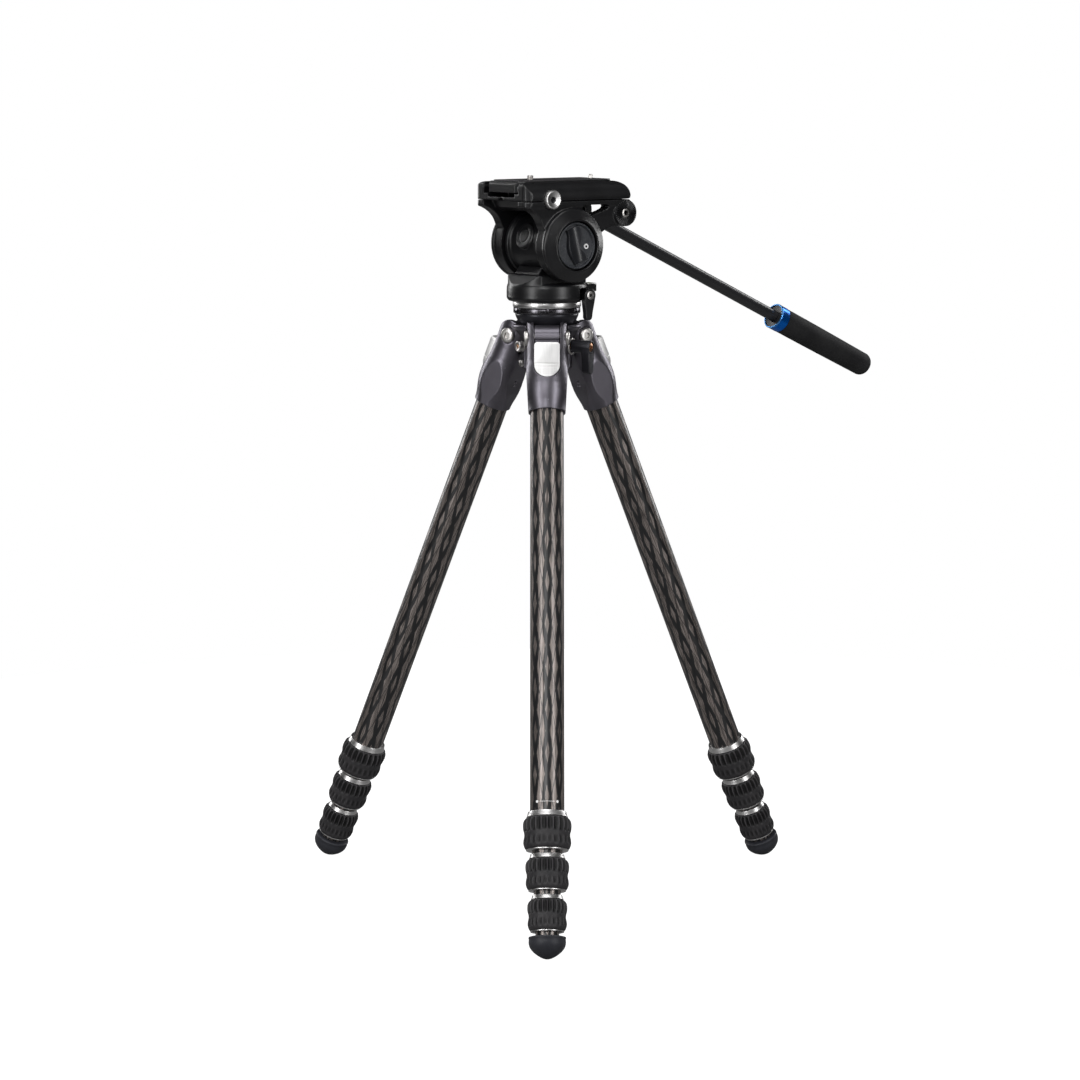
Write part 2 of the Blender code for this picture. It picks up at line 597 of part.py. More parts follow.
def receiver():
    """The upper half of the platform: a rounded block with a channel for the camera plate."""
    side = [(FRONT_END, SEAM + 0.1), (66, SEAM + 0.1), (69.5, SEAM + 1.2)] + arc(56.0, 44.5, 13.4, 0, 82, 9)
    side += [(FRONT_END + 2, 57.6), (FRONT_END, 56.4)]
    block_side = side_on(flat("side", side, -PLATFORM_HALF, PLATFORM_HALF))
    wall = arc(30.2, 45.2, 12.8, -8, 80, 7)
    section = mirrored([(PLATFORM_HALF, SEAM)] + wall + [(29, 57.6), (27.0, 56.6), (27.0, 54.6),
                                                         (28.6, 49.5)])
    body = common(block_side, moved(flat("section", section, -80, 90), turn=(90, 0, 90)))
    scallops = []
    for side_sign in (-1, 1):
        for x in (-41.0, 49.0):
            scallops.append(moved(cylinder("scallop", 4.0, 53.8, 70, 16), (x, side_sign * 28.6, 0)))
    front_slot = block("slot", (-70, -20, 45.8), (-44, 20, 52))
    bx, bz = BUTTON_PLACE
    button_hole = moved(cylinder("hole", 9.4, 33.0, 60, 24), (bx, 0, bz), (90, 0, 0))
    lock_hole = moved(cylinder("hole", 3.3, 20, 60, 16), (20, 0, 50.5), (-90, 0, 0))
    return cut(body, front_slot, button_hole, lock_hole, *scallops)


def build_cradle(tilt_frame):
    placed(cradle(), "cradle", "black_metal", tilt_frame)
    placed(receiver(), "receiver", "black_metal", tilt_frame)
    knob = turned("knob", [(0, 46.0), (20.6, 46.0), (21.2, 48.2), (22.0, 48.2), (KNOB_R, 47.4),
                           (KNOB_R, KNOB_FLOOR),
                           (0, KNOB_FLOOR)], 32)
    bar = arc(-3.5, 9.5, 8.6, 20, 150, 7) + arc(-16.5, -4, 8.5, 40, -30, 5) + arc(3.5, -9.5, 8.6, 200, 330, 7)
    bar += arc(16.5, 4, 8.5, 220, 150, 5)
    grip = common(flat("bar", bar, 45, 49.6), cylinder("trim", 20.3, 40, 60, 32))
    placed(moved(joined(knob, grip), turn=(90, 0, 0)), "tilt_drag_knob", "black_plastic", tilt_frame)
    hub = turned("hub", [(0, 57.6), (8.4, 57.6), (9.6, 56.6), (9.6, 50.4), (14.0, 50.4), (14.0, KNOB_FLOOR),
                         (0, KNOB_FLOOR)], 28)
    arm = flat("arm", arc(0, 0, 9.0, 90, 270, 8) + arc(34, -2, 4.2, -90, 90, 6), 51.0, 57.0)
    lever = moved(joined(hub, arm), turn=(-90, 0, 0))
    placed(lever, "tilt_lock_lever", "black_plastic", tilt_frame)
    bx, bz = BUTTON_PLACE
    button = turned("button", [(0, 44.4), (3.4, 44.4), (6.0, 45.6), (8.2, 46.2), (9.0, 45.4), (9.0, 36.4),
                               (0, 36.4)], 32)
    button = moved(moved(button, turn=(90, 0, 0)), (bx, 0, bz))
    placed(button, "safety_button", "silver", tilt_frame, (bx, -41, bz))
    lock = turned("lock", [(0, 57), (7.2, 57), (8.4, 56), (8.4, 47), (7.2, 44.2), (3.0, 44.2), (3.0, 31),
                           (0, 31)], 24)
    wing = block("wing", (-13.0, -2.4, 48.0), (0, 2.4, 56.0))
    lock = moved(moved(joined(lock, wing), turn=(-90, 0, 0)), (20, 0, 50.5))
    placed(lock, "plate_lock", "black_plastic", tilt_frame, (20, 45, 50.5))


def camera_plate():
    section = mirrored([(28.1, 49.9), (28.1, 50.6), (26.6, 54.8), (26.6, 57.2), (27.5, 58.2), (27.5, 61.2)])
    body = moved(flat("section", section, -60, 70), turn=(90, 0, 90))
    side = [(PLATE_FRONT, 49), (59, 49), (59, 58.4), (56.2, 61.2), (PLATE_FRONT + 2.8, 61.2)]
    side.append((PLATE_FRONT, 58.4))
    body = common(body, side_on(flat("side", side, -40, 40)))
    screw_slot = [(x, y) for x, y in arc(-10, 0, 3.7, 90, 270, 8) + arc(22, 0, 3.7, -90, 90, 8)]
    head_slot = [(x, y) for x, y in arc(-10, 0, 9.2, 90, 270, 10) + arc(22, 0, 9.2, -90, 90, 10)]
    slots = [flat("slot", [(x - 10, y) for x, y in screw_slot], 40, 70),
             flat("slot", [(x - 10, y) for x, y in head_slot], 40, 55.6)]
    stud_hole = moved(cylinder("hole", 2.4, 40, 70, 16), (PIN_PLACE, 0, 0))
    return cut(body, stud_hole, *slots)


def build_plate(tilt_frame):
    placed(camera_plate(), "camera_plate", "black_metal", tilt_frame)
    slot = [(x - 10, y) for x, y in arc(-10, 0, 6.0, 90, 270, 8) + arc(22, 0, 6.0, -90, 90, 8)]
    stud = arc(PIN_PLACE, 0, 3.4, 0, 337.5, 15)
    pad = flat("pad", [(-48, -24.5), (58, -24.5), (58, 24.5), (-48, 24.5)], 61.5, 62.3, [slot, stud])
    placed(pad, "plate_pad", "rubber", tilt_frame)
    screw = turned("screw", [(0, 66.2), (2.6, 66.2), (3.1, 65.6), (3.1, 55.2), (8.6, 55.2), (8.6, 51.2),
                             (0, 51.2)], 24)
    slit = block("slit", (-12, -0.6, 50), (12, 0.6, 52.4))
    placed(moved(cut(screw, slit), (-20, 0, 0)), "camera_screw", "silver", tilt_frame, (-20, 0, 58))
    pin = turned("pin", [(0, 66.0), (1.6, 66.0), (2.1, 65.4), (2.1, 50.4), (0, 50.4)], 20)
    placed(moved(pin, (PIN_PLACE, 0, 0)), "index_pin", "silver", tilt_frame, (PIN_PLACE, 0, 58))


def build_handle(handle_frame):
    """The clamp, rod, ring and grip, made with the rod along X, and the knob that tightens the clamp."""
    rod_line = (0, ROD_SIDE, ROD_RISE)
    along = (0, 90, 0)
    clamp = turned("clamp", [
        (0, 61.0), (11.4, 61.0), (ROSETTE_R, 59.6), (ROSETTE_R, ROSETTE_FACE + GAP), (0, ROSETTE_FACE + GAP),
    ], 24)
    bar = block("bar", (0, 46.5, -7.0), (42.0, 58.5, 0.5))
    socket = moved(cylinder("socket", 7.6, 34.0, 47.0, 20), rod_line, along)
    clamp = joined(moved(clamp, turn=(-90, 0, 0)), bar, socket)
    bore = moved(cylinder("bore", ROD_R + GAP, ROD_START - GAP, 60), rod_line, along)
    screw_hole = moved(cylinder("hole", 4.2, 20, 80, 16), turn=(-90, 0, 0))
    placed(cut(clamp, bore, screw_hole), "handle_clamp", "black_metal", handle_frame)
    rod = moved(cylinder("rod", ROD_R, ROD_START, GRIP_END - 16, 20), rod_line, along)
    placed(rod, "handle_rod", "black_metal", handle_frame)
    start = GRIP_START
    ring_bore = ROD_R + GAP
    ring = [
        (ring_bore, start + 12), (13.1, start + 12), (13.6, start + 11.4), (13.6, start + 0.6), (13.0, start),
        (12.2, start), (11.8, start + 1.6), (ring_bore, start + 1.6),
    ]
    ring = moved(turned("ring", ring, 24, ring=True), rod_line, along)
    placed(ring, "grip_ring", "blue", handle_frame)
    grip = [(0, GRIP_END)] + arc(0, GRIP_END - GRIP_R, GRIP_R, 66, 0, 4)
    grip += [(GRIP_R, start + 12.3), (ring_bore, start + 12.3), (ring_bore, GRIP_END - 15.7),
             (0, GRIP_END - 15.7)]
    placed(moved(turned("grip", grip, 24), rod_line, along), "handle_grip", "foam", handle_frame)
    knob = turned("knob", [
        (0, 76), (9.5, 76), (11, 74.4), (11, 64.5), (9.5, 61.3), (3.8, 61.3), (3.8, 30), (0, 30),
    ], 20)
    wings = block("wings", (-19, -2.6, 65), (19, 2.6, 74))
    placed(moved(joined(knob, wings), turn=(-90, 0, 0)), "handle_knob", "black_plastic", handle_frame)


def build():
    root = frame("tripod_axis", None, (AXIS_X, AXIS_Y, 0))
    for side, turn in LEG_TURNS.items():
        build_leg(side, turn, root)
    build_spider(root)
    level_frame = frame("level_centre", root, (0, 0, BALL_HEIGHT))
    build_level(level_frame)
    pan_frame = frame("pan_turn", root, turn=(0, 0, HEAD_TURN))
    build_pan(pan_frame)
    tilt_frame = frame("tilt_axis", pan_frame, (0, 0, TILT_HEIGHT))
    build_cradle(tilt_frame)
    build_plate(tilt_frame)
    x, z = HANDLE_PIVOT
    handle_frame = frame("handle_pivot", tilt_frame, (x, 0, z), (0, HANDLE_DROP, 0))
    build_handle(handle_frame)


build()
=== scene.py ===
"""The looks of a carbon-fibre video tripod with a levelling half-ball and a fluid head.

Each part is made in its own frame, in millimetres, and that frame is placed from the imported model's joints.
"""
import json
import math

import bmesh
import bpy
from mathutils import Matrix, Vector


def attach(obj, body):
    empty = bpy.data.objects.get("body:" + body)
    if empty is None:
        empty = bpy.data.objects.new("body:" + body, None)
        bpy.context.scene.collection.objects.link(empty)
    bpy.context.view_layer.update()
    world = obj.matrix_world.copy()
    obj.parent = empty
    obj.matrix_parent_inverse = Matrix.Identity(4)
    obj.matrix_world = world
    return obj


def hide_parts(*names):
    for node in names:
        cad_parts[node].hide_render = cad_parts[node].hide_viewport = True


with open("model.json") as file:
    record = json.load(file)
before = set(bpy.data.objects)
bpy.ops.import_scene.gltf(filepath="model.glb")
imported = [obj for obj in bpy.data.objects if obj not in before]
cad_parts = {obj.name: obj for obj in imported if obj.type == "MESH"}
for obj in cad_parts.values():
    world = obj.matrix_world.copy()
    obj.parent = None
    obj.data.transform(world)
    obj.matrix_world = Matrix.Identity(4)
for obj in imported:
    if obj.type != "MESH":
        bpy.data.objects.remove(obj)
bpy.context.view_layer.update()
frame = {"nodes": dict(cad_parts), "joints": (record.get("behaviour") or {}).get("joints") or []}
JOINTS = {joint["name"]: joint for joint in frame["joints"]}
MM = 0.001
SIDES = ("front", "right", "left")


# ---------------------------------------------------------------- frames

def point(joint):
    return Vector(JOINTS[joint]["pos_m"])


def direction(joint):
    return Vector(JOINTS[joint]["axis"]).normalized()


def frame_from(origin, x, y, z):
    """A frame from its origin and its three axes."""
    turn = Matrix((x, y, z)).transposed().to_4x4()
    return Matrix.Translation(origin) @ turn


def leg_frame(side):
    """The origin is on the hinge pin, X lies along the pin, and the leg runs down -Z with its outside on -Y."""
    x = -direction(f"{side}_leg_spread")
    z = -direction(f"{side}_section_2_slide")
    return frame_from(point(f"{side}_leg_spread"), x, z.cross(x), z)


UP = Vector((0, 0, 1))
LEVEL_POINT = point("level_side")
ROOT = Matrix.Translation((LEVEL_POINT.x, LEVEL_POINT.y, 0))
LEVEL = Matrix.Translation(LEVEL_POINT)
ACROSS = direction("tilt_turn")
PAN = frame_from(ROOT.translation, ACROSS.cross(UP), ACROSS, UP)
TILT = frame_from(point("tilt_turn"), ACROSS.cross(UP), ACROSS, UP)
HANDLE_DROP = 24.8
HANDLE_POINT = point("handle_angle") - ACROSS * 0.05
HANDLE = frame_from(HANDLE_POINT, ACROSS.cross(UP), ACROSS, UP) @ Matrix.Rotation(math.radians(HANDLE_DROP), 4,
                                                                                  "Y")
LEGS = {side: leg_frame(side) for side in SIDES}
BALL_HEIGHT = LEVEL_POINT.z / MM
TILT_HEIGHT = TILT.translation.z / MM


# ---------------------------------------------------------------- shapes

def arc(centre_x, centre_y, radius, start, end, steps):
    angles = [math.radians(start + (end - start) * i / steps) for i in range(steps + 1)]
    return [(centre_x + radius * math.cos(t), centre_y + radius * math.sin(t)) for t in angles]


def mirrored(points):
    return points + [(-x, y) for x, y in reversed(points)]


def solid(mesh):
    obj = bpy.data.objects.new("shape", mesh)
    bpy.context.scene.collection.objects.link(obj)
    return obj


def from_bmesh(bm):
    mesh = bpy.data.meshes.new("shape")
    bm.to_mesh(mesh)
    bm.free()
    return solid(mesh)


def baked(obj, weld=0.0):
    """The object with its modifiers, or its curve, turned into a plain mesh."""
    bpy.context.view_layer.update()
    source = obj.evaluated_get(bpy.context.evaluated_depsgraph_get())
    mesh = bpy.data.meshes.new_from_object(source)
    bpy.data.objects.remove(obj, do_unlink=True)
    if weld:
        bm = bmesh.new()
        bm.from_mesh(mesh)
        bmesh.ops.remove_doubles(bm, verts=bm.verts, dist=weld)
        bmesh.ops.recalc_face_normals(bm, faces=bm.faces)
        bm.to_mesh(mesh)
        bm.free()
    return solid(mesh)


def lathed(rows, steps=96, ring=False, grooves=0):
    """A shape turned about Z from rows of (radius, height, groove depth) down its outer side.

    Its "hollow" attribute is above zero in a groove and below zero on the ridge between two grooves.
    """
    bm = bmesh.new()
    hollow = bm.verts.layers.float.new("hollow")
    loops = []
    for radius, height, *depth in rows:
        if radius < 1e-6:
            loops.append([bm.verts.new((0, 0, height * MM))])
            continue
        loop = []
        for i in range(steps):
            t = 2 * math.pi * i / steps
            dip = depth[0] * (0.5 - 0.5 * math.cos(grooves * t)) ** 0.6 if depth and grooves else 0.0
            r = (radius - dip) * MM
            loop.append(bm.verts.new((r * math.cos(t), r * math.sin(t), height * MM)))
            crest = depth[0] - 3 * dip if depth and grooves else 0.0
            loop[-1][hollow] = dip - max(crest, 0.0)
        loops.append(loop)
    pairs = list(zip(loops, loops[1:]))
    if ring:
        pairs.append((loops[-1], loops[0]))
    for upper, lower in pairs:
        for i in range(steps):
            j = (i + 1) % steps
            corners = [upper[i % len(upper)], lower[i % len(lower)], lower[j % len(lower)],
                       upper[j % len(upper)]]
            corners = list(dict.fromkeys(corners))
            if len(corners) > 2:
                bm.faces.new(corners)
    return from_bmesh(bm)


def block(low, high):
    bm = bmesh.new()
    size = [(b - a) * MM for a, b in zip(low, high)]
    middle = [(a + b) / 2 * MM for a, b in zip(low, high)]
    bmesh.ops.create_cube(bm, size=1, matrix=Matrix.Translation(middle) @ Matrix.Diagonal((*size, 1)))
    return from_bmesh(bm)


def cylinder(radius, low, high, steps=64):
    return lathed([(0, high), (radius, high), (radius, low), (0, low)], steps)


def ball(radius, height, steps=96):
    rows = [(radius * math.sin(math.pi * i / 48),
             height + radius * math.cos(math.pi * i / 48)) for i in range(49)]
    return lathed(rows, steps)


def flat(outline, low, high, holes=()):
    """A flat outline in the XY plane, made solid between two heights."""
    curve = bpy.data.curves.new("shape", "CURVE")
    curve.dimensions = "2D"
    curve.fill_mode = "BOTH"
    curve.extrude = (high - low) / 2 * MM
    for loop in (outline, *holes):
        spline = curve.splines.new("POLY")
        spline.points.add(len(loop) - 1)
        spline.use_cyclic_u = True
        for place, (x, y) in zip(spline.points, loop):
            place.co = (x * MM, y * MM, 0, 1)
    obj = baked(solid(curve), weld=0.000001)
    obj.data.transform(Matrix.Translation((0, 0, (low + high) / 2 * MM)))
    return obj


def moved(obj, place=(0, 0, 0), turn=(0, 0, 0)):
    """Turn a shape about X, then Y, then Z, and then shift it."""
    x, y, z = (math.radians(t) for t in turn)
    rotation = Matrix.Rotation(z, 4, "Z") @ Matrix.Rotation(y, 4, "Y") @ Matrix.Rotation(x, 4, "X")
    obj.data.transform(Matrix.Translation(Vector(place) * MM) @ rotation)
    return obj


def side_on(obj):
    """Stand a shape up, so that what pointed up points to the near side."""
    return moved(obj, turn=(90, 0, 0))


def far_side_on(obj):
    return moved(obj, turn=(-90, 0, 0))


def end_on(obj):
    """Stand an outline up across the X axis."""
    return moved(obj, turn=(90, 0, 90))


def radial(obj, turn, height=0):
    """Lay a shape made along Z out from the axis, at one bearing and height."""
    return moved(moved(obj, turn=(0, 90, 0)), (0, 0, height), (0, 0, turn))


def hexagon(radius, low, high):
    return flat(arc(0, 0, radius, 0, 300, 5), low, high)


def combined(obj, others, operation):
    for other in others:
        boolean = obj.modifiers.new("Combine", "BOOLEAN")
        boolean.operation = operation
        boolean.solver = "EXACT"
        boolean.object = other
        obj = baked(obj)
        bpy.data.objects.remove(other, do_unlink=True)
    return obj


def joined(obj, *others):
    return combined(obj, others, "UNION")


def cut(obj, *others):
    return combined(obj, others, "DIFFERENCE")


def common(obj, *others):
    return combined(obj, others, "INTERSECT")


def cast(obj, voxel=0.6, passes=5, keep=0.5):
    """The shape as a casting: an even skin with every edge softened."""
    remesh = obj.modifiers.new("Skin", "REMESH")
    remesh.mode = "VOXEL"
    remesh.voxel_size = voxel * MM
    smooth = obj.modifiers.new("Soften", "SMOOTH")
    smooth.factor = 0.5
    smooth.iterations = passes
    if keep < 1:
        thin = obj.modifiers.new("Thin", "DECIMATE")
        thin.ratio = keep
    obj = baked(obj)
    obj.data.shade_smooth()
    return obj


def crisp(obj, width=0.25, segments=2, angle=35):
    """The shape with small rounded edges, as if machined."""
    bevel = obj.modifiers.new("Round", "BEVEL")
    bevel.width = width * MM
    bevel.segments = segments
    bevel.limit_method = "ANGLE"
    bevel.angle_limit = math.radians(angle)
    bevel.use_clamp_overlap = True
    obj = baked(obj)
    obj.data.shade_smooth()
    obj.data.set_sharp_from_angle(angle=math.radians(50))
    return obj


def smoothed(obj, angle=35):
    obj.data.shade_smooth()
    obj.data.set_sharp_from_angle(angle=math.radians(angle))
    return obj


def put(obj, name, look, slot, place, body, *nodes):
    """Finish a piece: its name, its look, its frame, the body it moves with and the nodes it stands for."""
    obj.name = name
    obj.data.name = name
    obj.data.materials.clear()
    obj.data.materials.append(LOOKS[look])
    obj.matrix_world = place
    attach(obj, body)
    if nodes:
        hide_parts(*nodes)
    return obj


def copied(obj):
    twin = obj.copy()
    bpy.context.scene.collection.objects.link(twin)
    return twin


# ---------------------------------------------------------------- materials

class Graph:
    """A material's node tree, with short calls for making and joining nodes."""

    def __init__(self, name, colour, roughness, metallic=0.0, coat=0.0, coat_roughness=0.1, specular=0.5):
        self.material = bpy.data.materials.new(name)
        self.material.use_nodes = True
        self.material.diffuse_color = (*colour, 1)
        self.tree = self.material.node_tree
        self.shader = self.tree.nodes["Principled BSDF"]
        self.set("Base Color", (*colour, 1))
        self.set("Roughness", roughness)
        self.set("Metallic", metallic)
        self.set("Coat Weight", coat)
        self.set("Coat Roughness", coat_roughness)
        self.set("Specular IOR Level", specular)
        self.coordinates = self.tree.nodes.new("ShaderNodeTexCoord").outputs["Object"]

    def set(self, socket, value):
        self.shader.inputs[socket].default_value = value

    def link(self, output, socket):
        self.tree.links.new(output, self.shader.inputs[socket])

    def feed(self, node, inputs):
        for key, value in inputs.items():
            if isinstance(value, bpy.types.NodeSocket):
                self.tree.links.new(value, node.inputs[key])
            else:
                node.inputs[key].default_value = value

    def maths(self, operation, *values):
        node = self.tree.nodes.new("ShaderNodeMath")
        node.operation = operation
        self.feed(node, dict(enumerate(values)))
        return node.outputs[0]

    def noise(self, scale, detail=2.0, vector=None, roughness=0.5):
        node = self.tree.nodes.new("ShaderNodeTexNoise")
        self.feed(node, {"Vector": vector or self.coordinates, "Scale": scale, "Detail": detail,
                         "Roughness": roughness})
        return node.outputs["Fac"]

    def cells(self, scale, vector=None):
        node = self.tree.nodes.new("ShaderNodeTexVoronoi")
        self.feed(node, {"Vector": vector or self.coordinates, "Scale": scale})
        return node.outputs["Distance"]

    def stretched(self, x, y, z):
        node = self.tree.nodes.new("ShaderNodeMapping")
        self.feed(node, {"Vector": self.coordinates, "Scale": (x, y, z)})
        return node.outputs[0]

    def ramp(self, value, low, high, to_low=0.0, to_high=1.0):
        node = self.tree.nodes.new("ShaderNodeMapRange")
        node.interpolation_type = "SMOOTHSTEP"
        self.feed(node, {"Value": value, "From Min": low, "From Max": high, "To Min": to_low,
                         "To Max": to_high})
        return node.outputs[0]

    def mix(self, share, one, other):
        node = self.tree.nodes.new("ShaderNodeMix")
        node.data_type = "RGBA"
        self.feed(node, {0: share, 6: one if isinstance(one, bpy.types.NodeSocket) else (*one, 1),
                         7: other if isinstance(other, bpy.types.NodeSocket) else (*other, 1)})
        return node.outputs[2]

    def bump(self, height, strength, distance):
        node = self.tree.nodes.new("ShaderNodeBump")
        self.feed(node, {"Height": height, "Strength": strength, "Distance": distance})
        self.tree.links.new(node.outputs[0], self.shader.inputs["Normal"])

    def edges(self, low=0.52, high=0.62):
        """How far a spot stands out along a rounded edge."""
        geometry = self.tree.nodes.new("ShaderNodeNewGeometry")
        return self.ramp(geometry.outputs["Pointiness"], low, high)

    def carved(self, low, high):
        """How deep a spot lies in a groove, or how far out on a ridge when both limits are below zero."""
        node = self.tree.nodes.new("ShaderNodeAttribute")
        node.attribute_name = "hollow"
        return self.ramp(node.outputs["Fac"], low, high)

    def split(self):
        node = self.tree.nodes.new("ShaderNodeSeparateXYZ")
        self.tree.links.new(self.coordinates, node.inputs[0])
        return node.outputs


def metal(name, colour, lighter, roughness, metallic, grain, depth, edge=None):
    """A cast or coated metal: a fine grain, slow random changes of tone, and rounded edges lightened as a painted
    highlight.
    """
    g = Graph(name, colour, roughness, metallic)
    slow = g.ramp(g.noise(38.0, 3.0), 0.35, 0.65)
    shade = g.mix(slow, colour, lighter)
    # Painted highlight: convex rounded edges are mixed towards the lighter edge colour.
    if edge:
        shade = g.mix(g.maths("MULTIPLY", g.edges(), 0.6), shade, edge)
    g.link(shade, "Base Color")
    fine = g.noise(grain, 2.0)
    g.link(g.ramp(fine, 0.3, 0.7, roughness - 0.05, roughness + 0.06), "Roughness")
    g.bump(fine, 0.35, depth)
    return g.material


def brushed(name, colour, roughness, along, metallic=1.0):
    """Bright metal with fine tool marks along one direction, or round the axis."""
    g = Graph(name, colour, roughness, metallic)
    marks = g.noise(1.0, 3.0, g.stretched(*along))
    darker = tuple(c * 0.88 for c in colour)
    g.link(g.mix(g.ramp(marks, 0.3, 0.7), darker, colour), "Base Color")
    g.link(g.ramp(marks, 0.3, 0.7, roughness * 0.9, roughness * 1.2), "Roughness")
    g.bump(marks, 0.05, 0.00001)
    return g.material


def carbon():
    """Clear-coated tube: dark strands cross over straight pale fibre and dive under it in every third column."""
    g = Graph("carbon", (0.02, 0.02, 0.022), 0.36, 0.0, coat=0.25, coat_roughness=0.14)
    columns, half_period = 24, 0.0204
    x, y, z = g.split()
    wander = g.maths("MULTIPLY", g.maths("SUBTRACT", g.noise(22.0, 1.0), 0.5), 0.5)
    column = g.maths("ADD", g.maths("MULTIPLY", g.maths("ARCTAN2", x, y), columns / (2 * math.pi)), wander)
    down = g.maths("DIVIDE", z, half_period)
    gaps = []
    for operation in ("ADD", "SUBTRACT"):
        turn = g.maths("FRACT", g.maths("ADD", g.maths("MULTIPLY", g.maths(operation, column, down), 0.5),
                                        100.0))
        gaps.append(g.maths("MULTIPLY", g.maths("ABSOLUTE", g.maths("SUBTRACT", turn, 0.5)), 2.0))
    gap = g.maths("MINIMUM", *gaps)
    third = g.maths("SUBTRACT", g.maths("MULTIPLY", g.maths("FRACT", g.maths(
        "ADD", g.maths("DIVIDE", column, 3.0), 100.5)), 3.0), 1.5)
    width = g.ramp(g.maths("ABSOLUTE", third), 0.85, 1.15, 0.46, 0.05)
    ragged = g.maths("MULTIPLY", g.maths("SUBTRACT", g.noise(1.0, 2.0, g.stretched(1500, 1500, 90)), 0.5), 0.16)
    pale = g.ramp(g.maths("ADD", g.maths("SUBTRACT", gap, width), ragged), -0.06, 0.1)
    fibre = g.noise(1.0, 3.0, g.stretched(2600, 2600, 45))
    light = g.mix(g.ramp(fibre, 0.35, 0.7), (0.05, 0.043, 0.04), (0.42, 0.365, 0.34))
    dark = g.mix(fibre, (0.002, 0.002, 0.0024), (0.010, 0.0102, 0.0115))
    g.link(g.mix(pale, dark, light), "Base Color")
    g.link(g.maths("MULTIPLY", pale, 0.7), "Metallic")
    g.link(g.ramp(fibre, 0.3, 0.7, 0.3, 0.48), "Roughness")
    g.bump(fibre, 0.2, 0.00003)
    return g.material


def rubber(name, colour, lighter, roughness, grain, depth):
    g = Graph(name, colour, roughness, specular=0.35)
    fine = g.noise(grain, 3.0)
    # Rounded edges are lightened: partly rubbed wear, partly a painted highlight.
    edge_wear_and_highlight = g.maths("MULTIPLY", g.edges(0.51, 0.6), 0.4)
    shade = g.mix(g.ramp(g.noise(60.0, 3.0), 0.35, 0.65), colour, lighter)
    # Painted shade: the flutes are darkened towards the bottom of each groove.
    shade = g.mix(g.carved(0.1, 1.6), shade, tuple(c * 0.12 for c in colour))
    # Painted highlight: the ridges between the flutes are lightened.
    shade = g.mix(g.carved(-0.2, -2.4), shade, tuple(c * 2.6 for c in lighter))
    g.link(g.mix(edge_wear_and_highlight, shade, tuple(c * 1.8 for c in lighter)), "Base Color")
    g.link(g.ramp(fine, 0.3, 0.7, roughness - 0.08, roughness + 0.08), "Roughness")
    g.bump(fine, 0.4, depth)
    return g.material


def foam():
    g = Graph("foam", (0.012, 0.012, 0.013), 0.82, specular=0.3)
    pores = g.cells(1500.0)
    specks = g.ramp(g.noise(1700.0, 1.0), 0.66, 0.74)
    shade = g.mix(g.ramp(g.noise(45.0, 3.0), 0.35, 0.65), (0.010, 0.010, 0.011), (0.018, 0.018, 0.019))
    g.link(g.mix(specks, shade, (0.07, 0.07, 0.072)), "Base Color")
    g.bump(pores, 0.45, 0.00012)
    return g.material


def speckled():
    """Moulded plastic with pale mineral specks."""
    g = Graph("speckled", (0.035, 0.038, 0.044), 0.5)
    specks = g.ramp(g.noise(1500.0, 2.0), 0.56, 0.68)
    g.link(g.mix(specks, (0.028, 0.031, 0.037), (0.16, 0.165, 0.175)), "Base Color")
    g.bump(g.noise(1500.0, 2.0), 0.3, 0.00005)
    return g.material


def spirit():
    g = Graph("spirit", (0.5, 0.75, 0.12), 0.05, coat=1.0, coat_roughness=0.02)
    g.set("Transmission Weight", 0.35)
    shade = g.mix(g.ramp(g.noise(180.0, 1.0), 0.4, 0.6), (0.42, 0.68, 0.08), (0.6, 0.82, 0.2))
    g.link(shade, "Base Color")
    return g.material


# The last colour, where one is given, is the painted highlight along rounded edges.
METALS = {
    "gunmetal": ((0.15, 0.142, 0.164), (0.17, 0.161, 0.184), 0.4, 1.0, 2200.0, 0.00002, (0.32, 0.31, 0.35)),
    "dark_metal": ((0.03, 0.03, 0.036), (0.045, 0.045, 0.052), 0.36, 0.6, 2200.0, 0.00003),
    "polished": ((0.1, 0.097, 0.107), (0.13, 0.126, 0.138), 0.26, 1.0, 900.0, 0.00001),
    "black_metal": ((0.0045, 0.0045, 0.0052), (0.0075, 0.0075, 0.0085), 0.34, 0.0, 1900.0, 0.00004,
                    (0.03, 0.03, 0.033)),
    "black_plastic": ((0.006, 0.006, 0.0068), (0.01, 0.01, 0.011), 0.38, 0.0, 2600.0, 0.00003,
                      (0.03, 0.03, 0.032)),
    "satin_black": ((0.016, 0.017, 0.02), (0.024, 0.025, 0.029), 0.3, 0.0, 2600.0, 0.00002,
                    (0.06, 0.062, 0.07)),
    "gloss_black": ((0.009, 0.009, 0.011), (0.014, 0.014, 0.016), 0.2, 0.0, 2600.0, 0.00001),
}
BRUSHED = {
    "silver": ((0.86, 0.85, 0.84), 0.32, (300, 300, 3000)),
    "pale_silver": ((0.88, 0.875, 0.87), 0.42, (2400, 60, 60), 0.6),
    "satin": ((0.68, 0.67, 0.665), 0.34, (60, 60, 2400)),
    "steel": ((0.66, 0.64, 0.62), 0.34, (1400, 1400, 500)),
    "brass": ((0.55, 0.3, 0.17), 0.28, (1400, 1400, 500)),
    "blue": ((0.0, 0.16, 0.72), 0.26, (150, 2400, 2400), 0.85),
    "blue_rim": ((0.12, 0.42, 0.95), 0.2, (150, 2400, 2400), 0.85),
}
RUBBERS = {
    "rubber": ((0.022, 0.021, 0.023), (0.031, 0.029, 0.031), 0.55, 1800.0, 0.00008),
    "foot_rubber": ((0.020, 0.021, 0.027), (0.028, 0.029, 0.036), 0.5, 1500.0, 0.00005),
    "white_mark": ((0.75, 0.75, 0.74), (0.8, 0.8, 0.79), 0.5, 900.0, 0.00001),
}
LOOKS = {"carbon": carbon(), "foam": foam(), "speckled": speckled(), "spirit": spirit()}
for make, table in ((metal, METALS), (brushed, BRUSHED), (rubber, RUBBERS)):
    LOOKS |= {name: make(name, *values) for name, values in table.items()}


# ---------------------------------------------------------------- legs

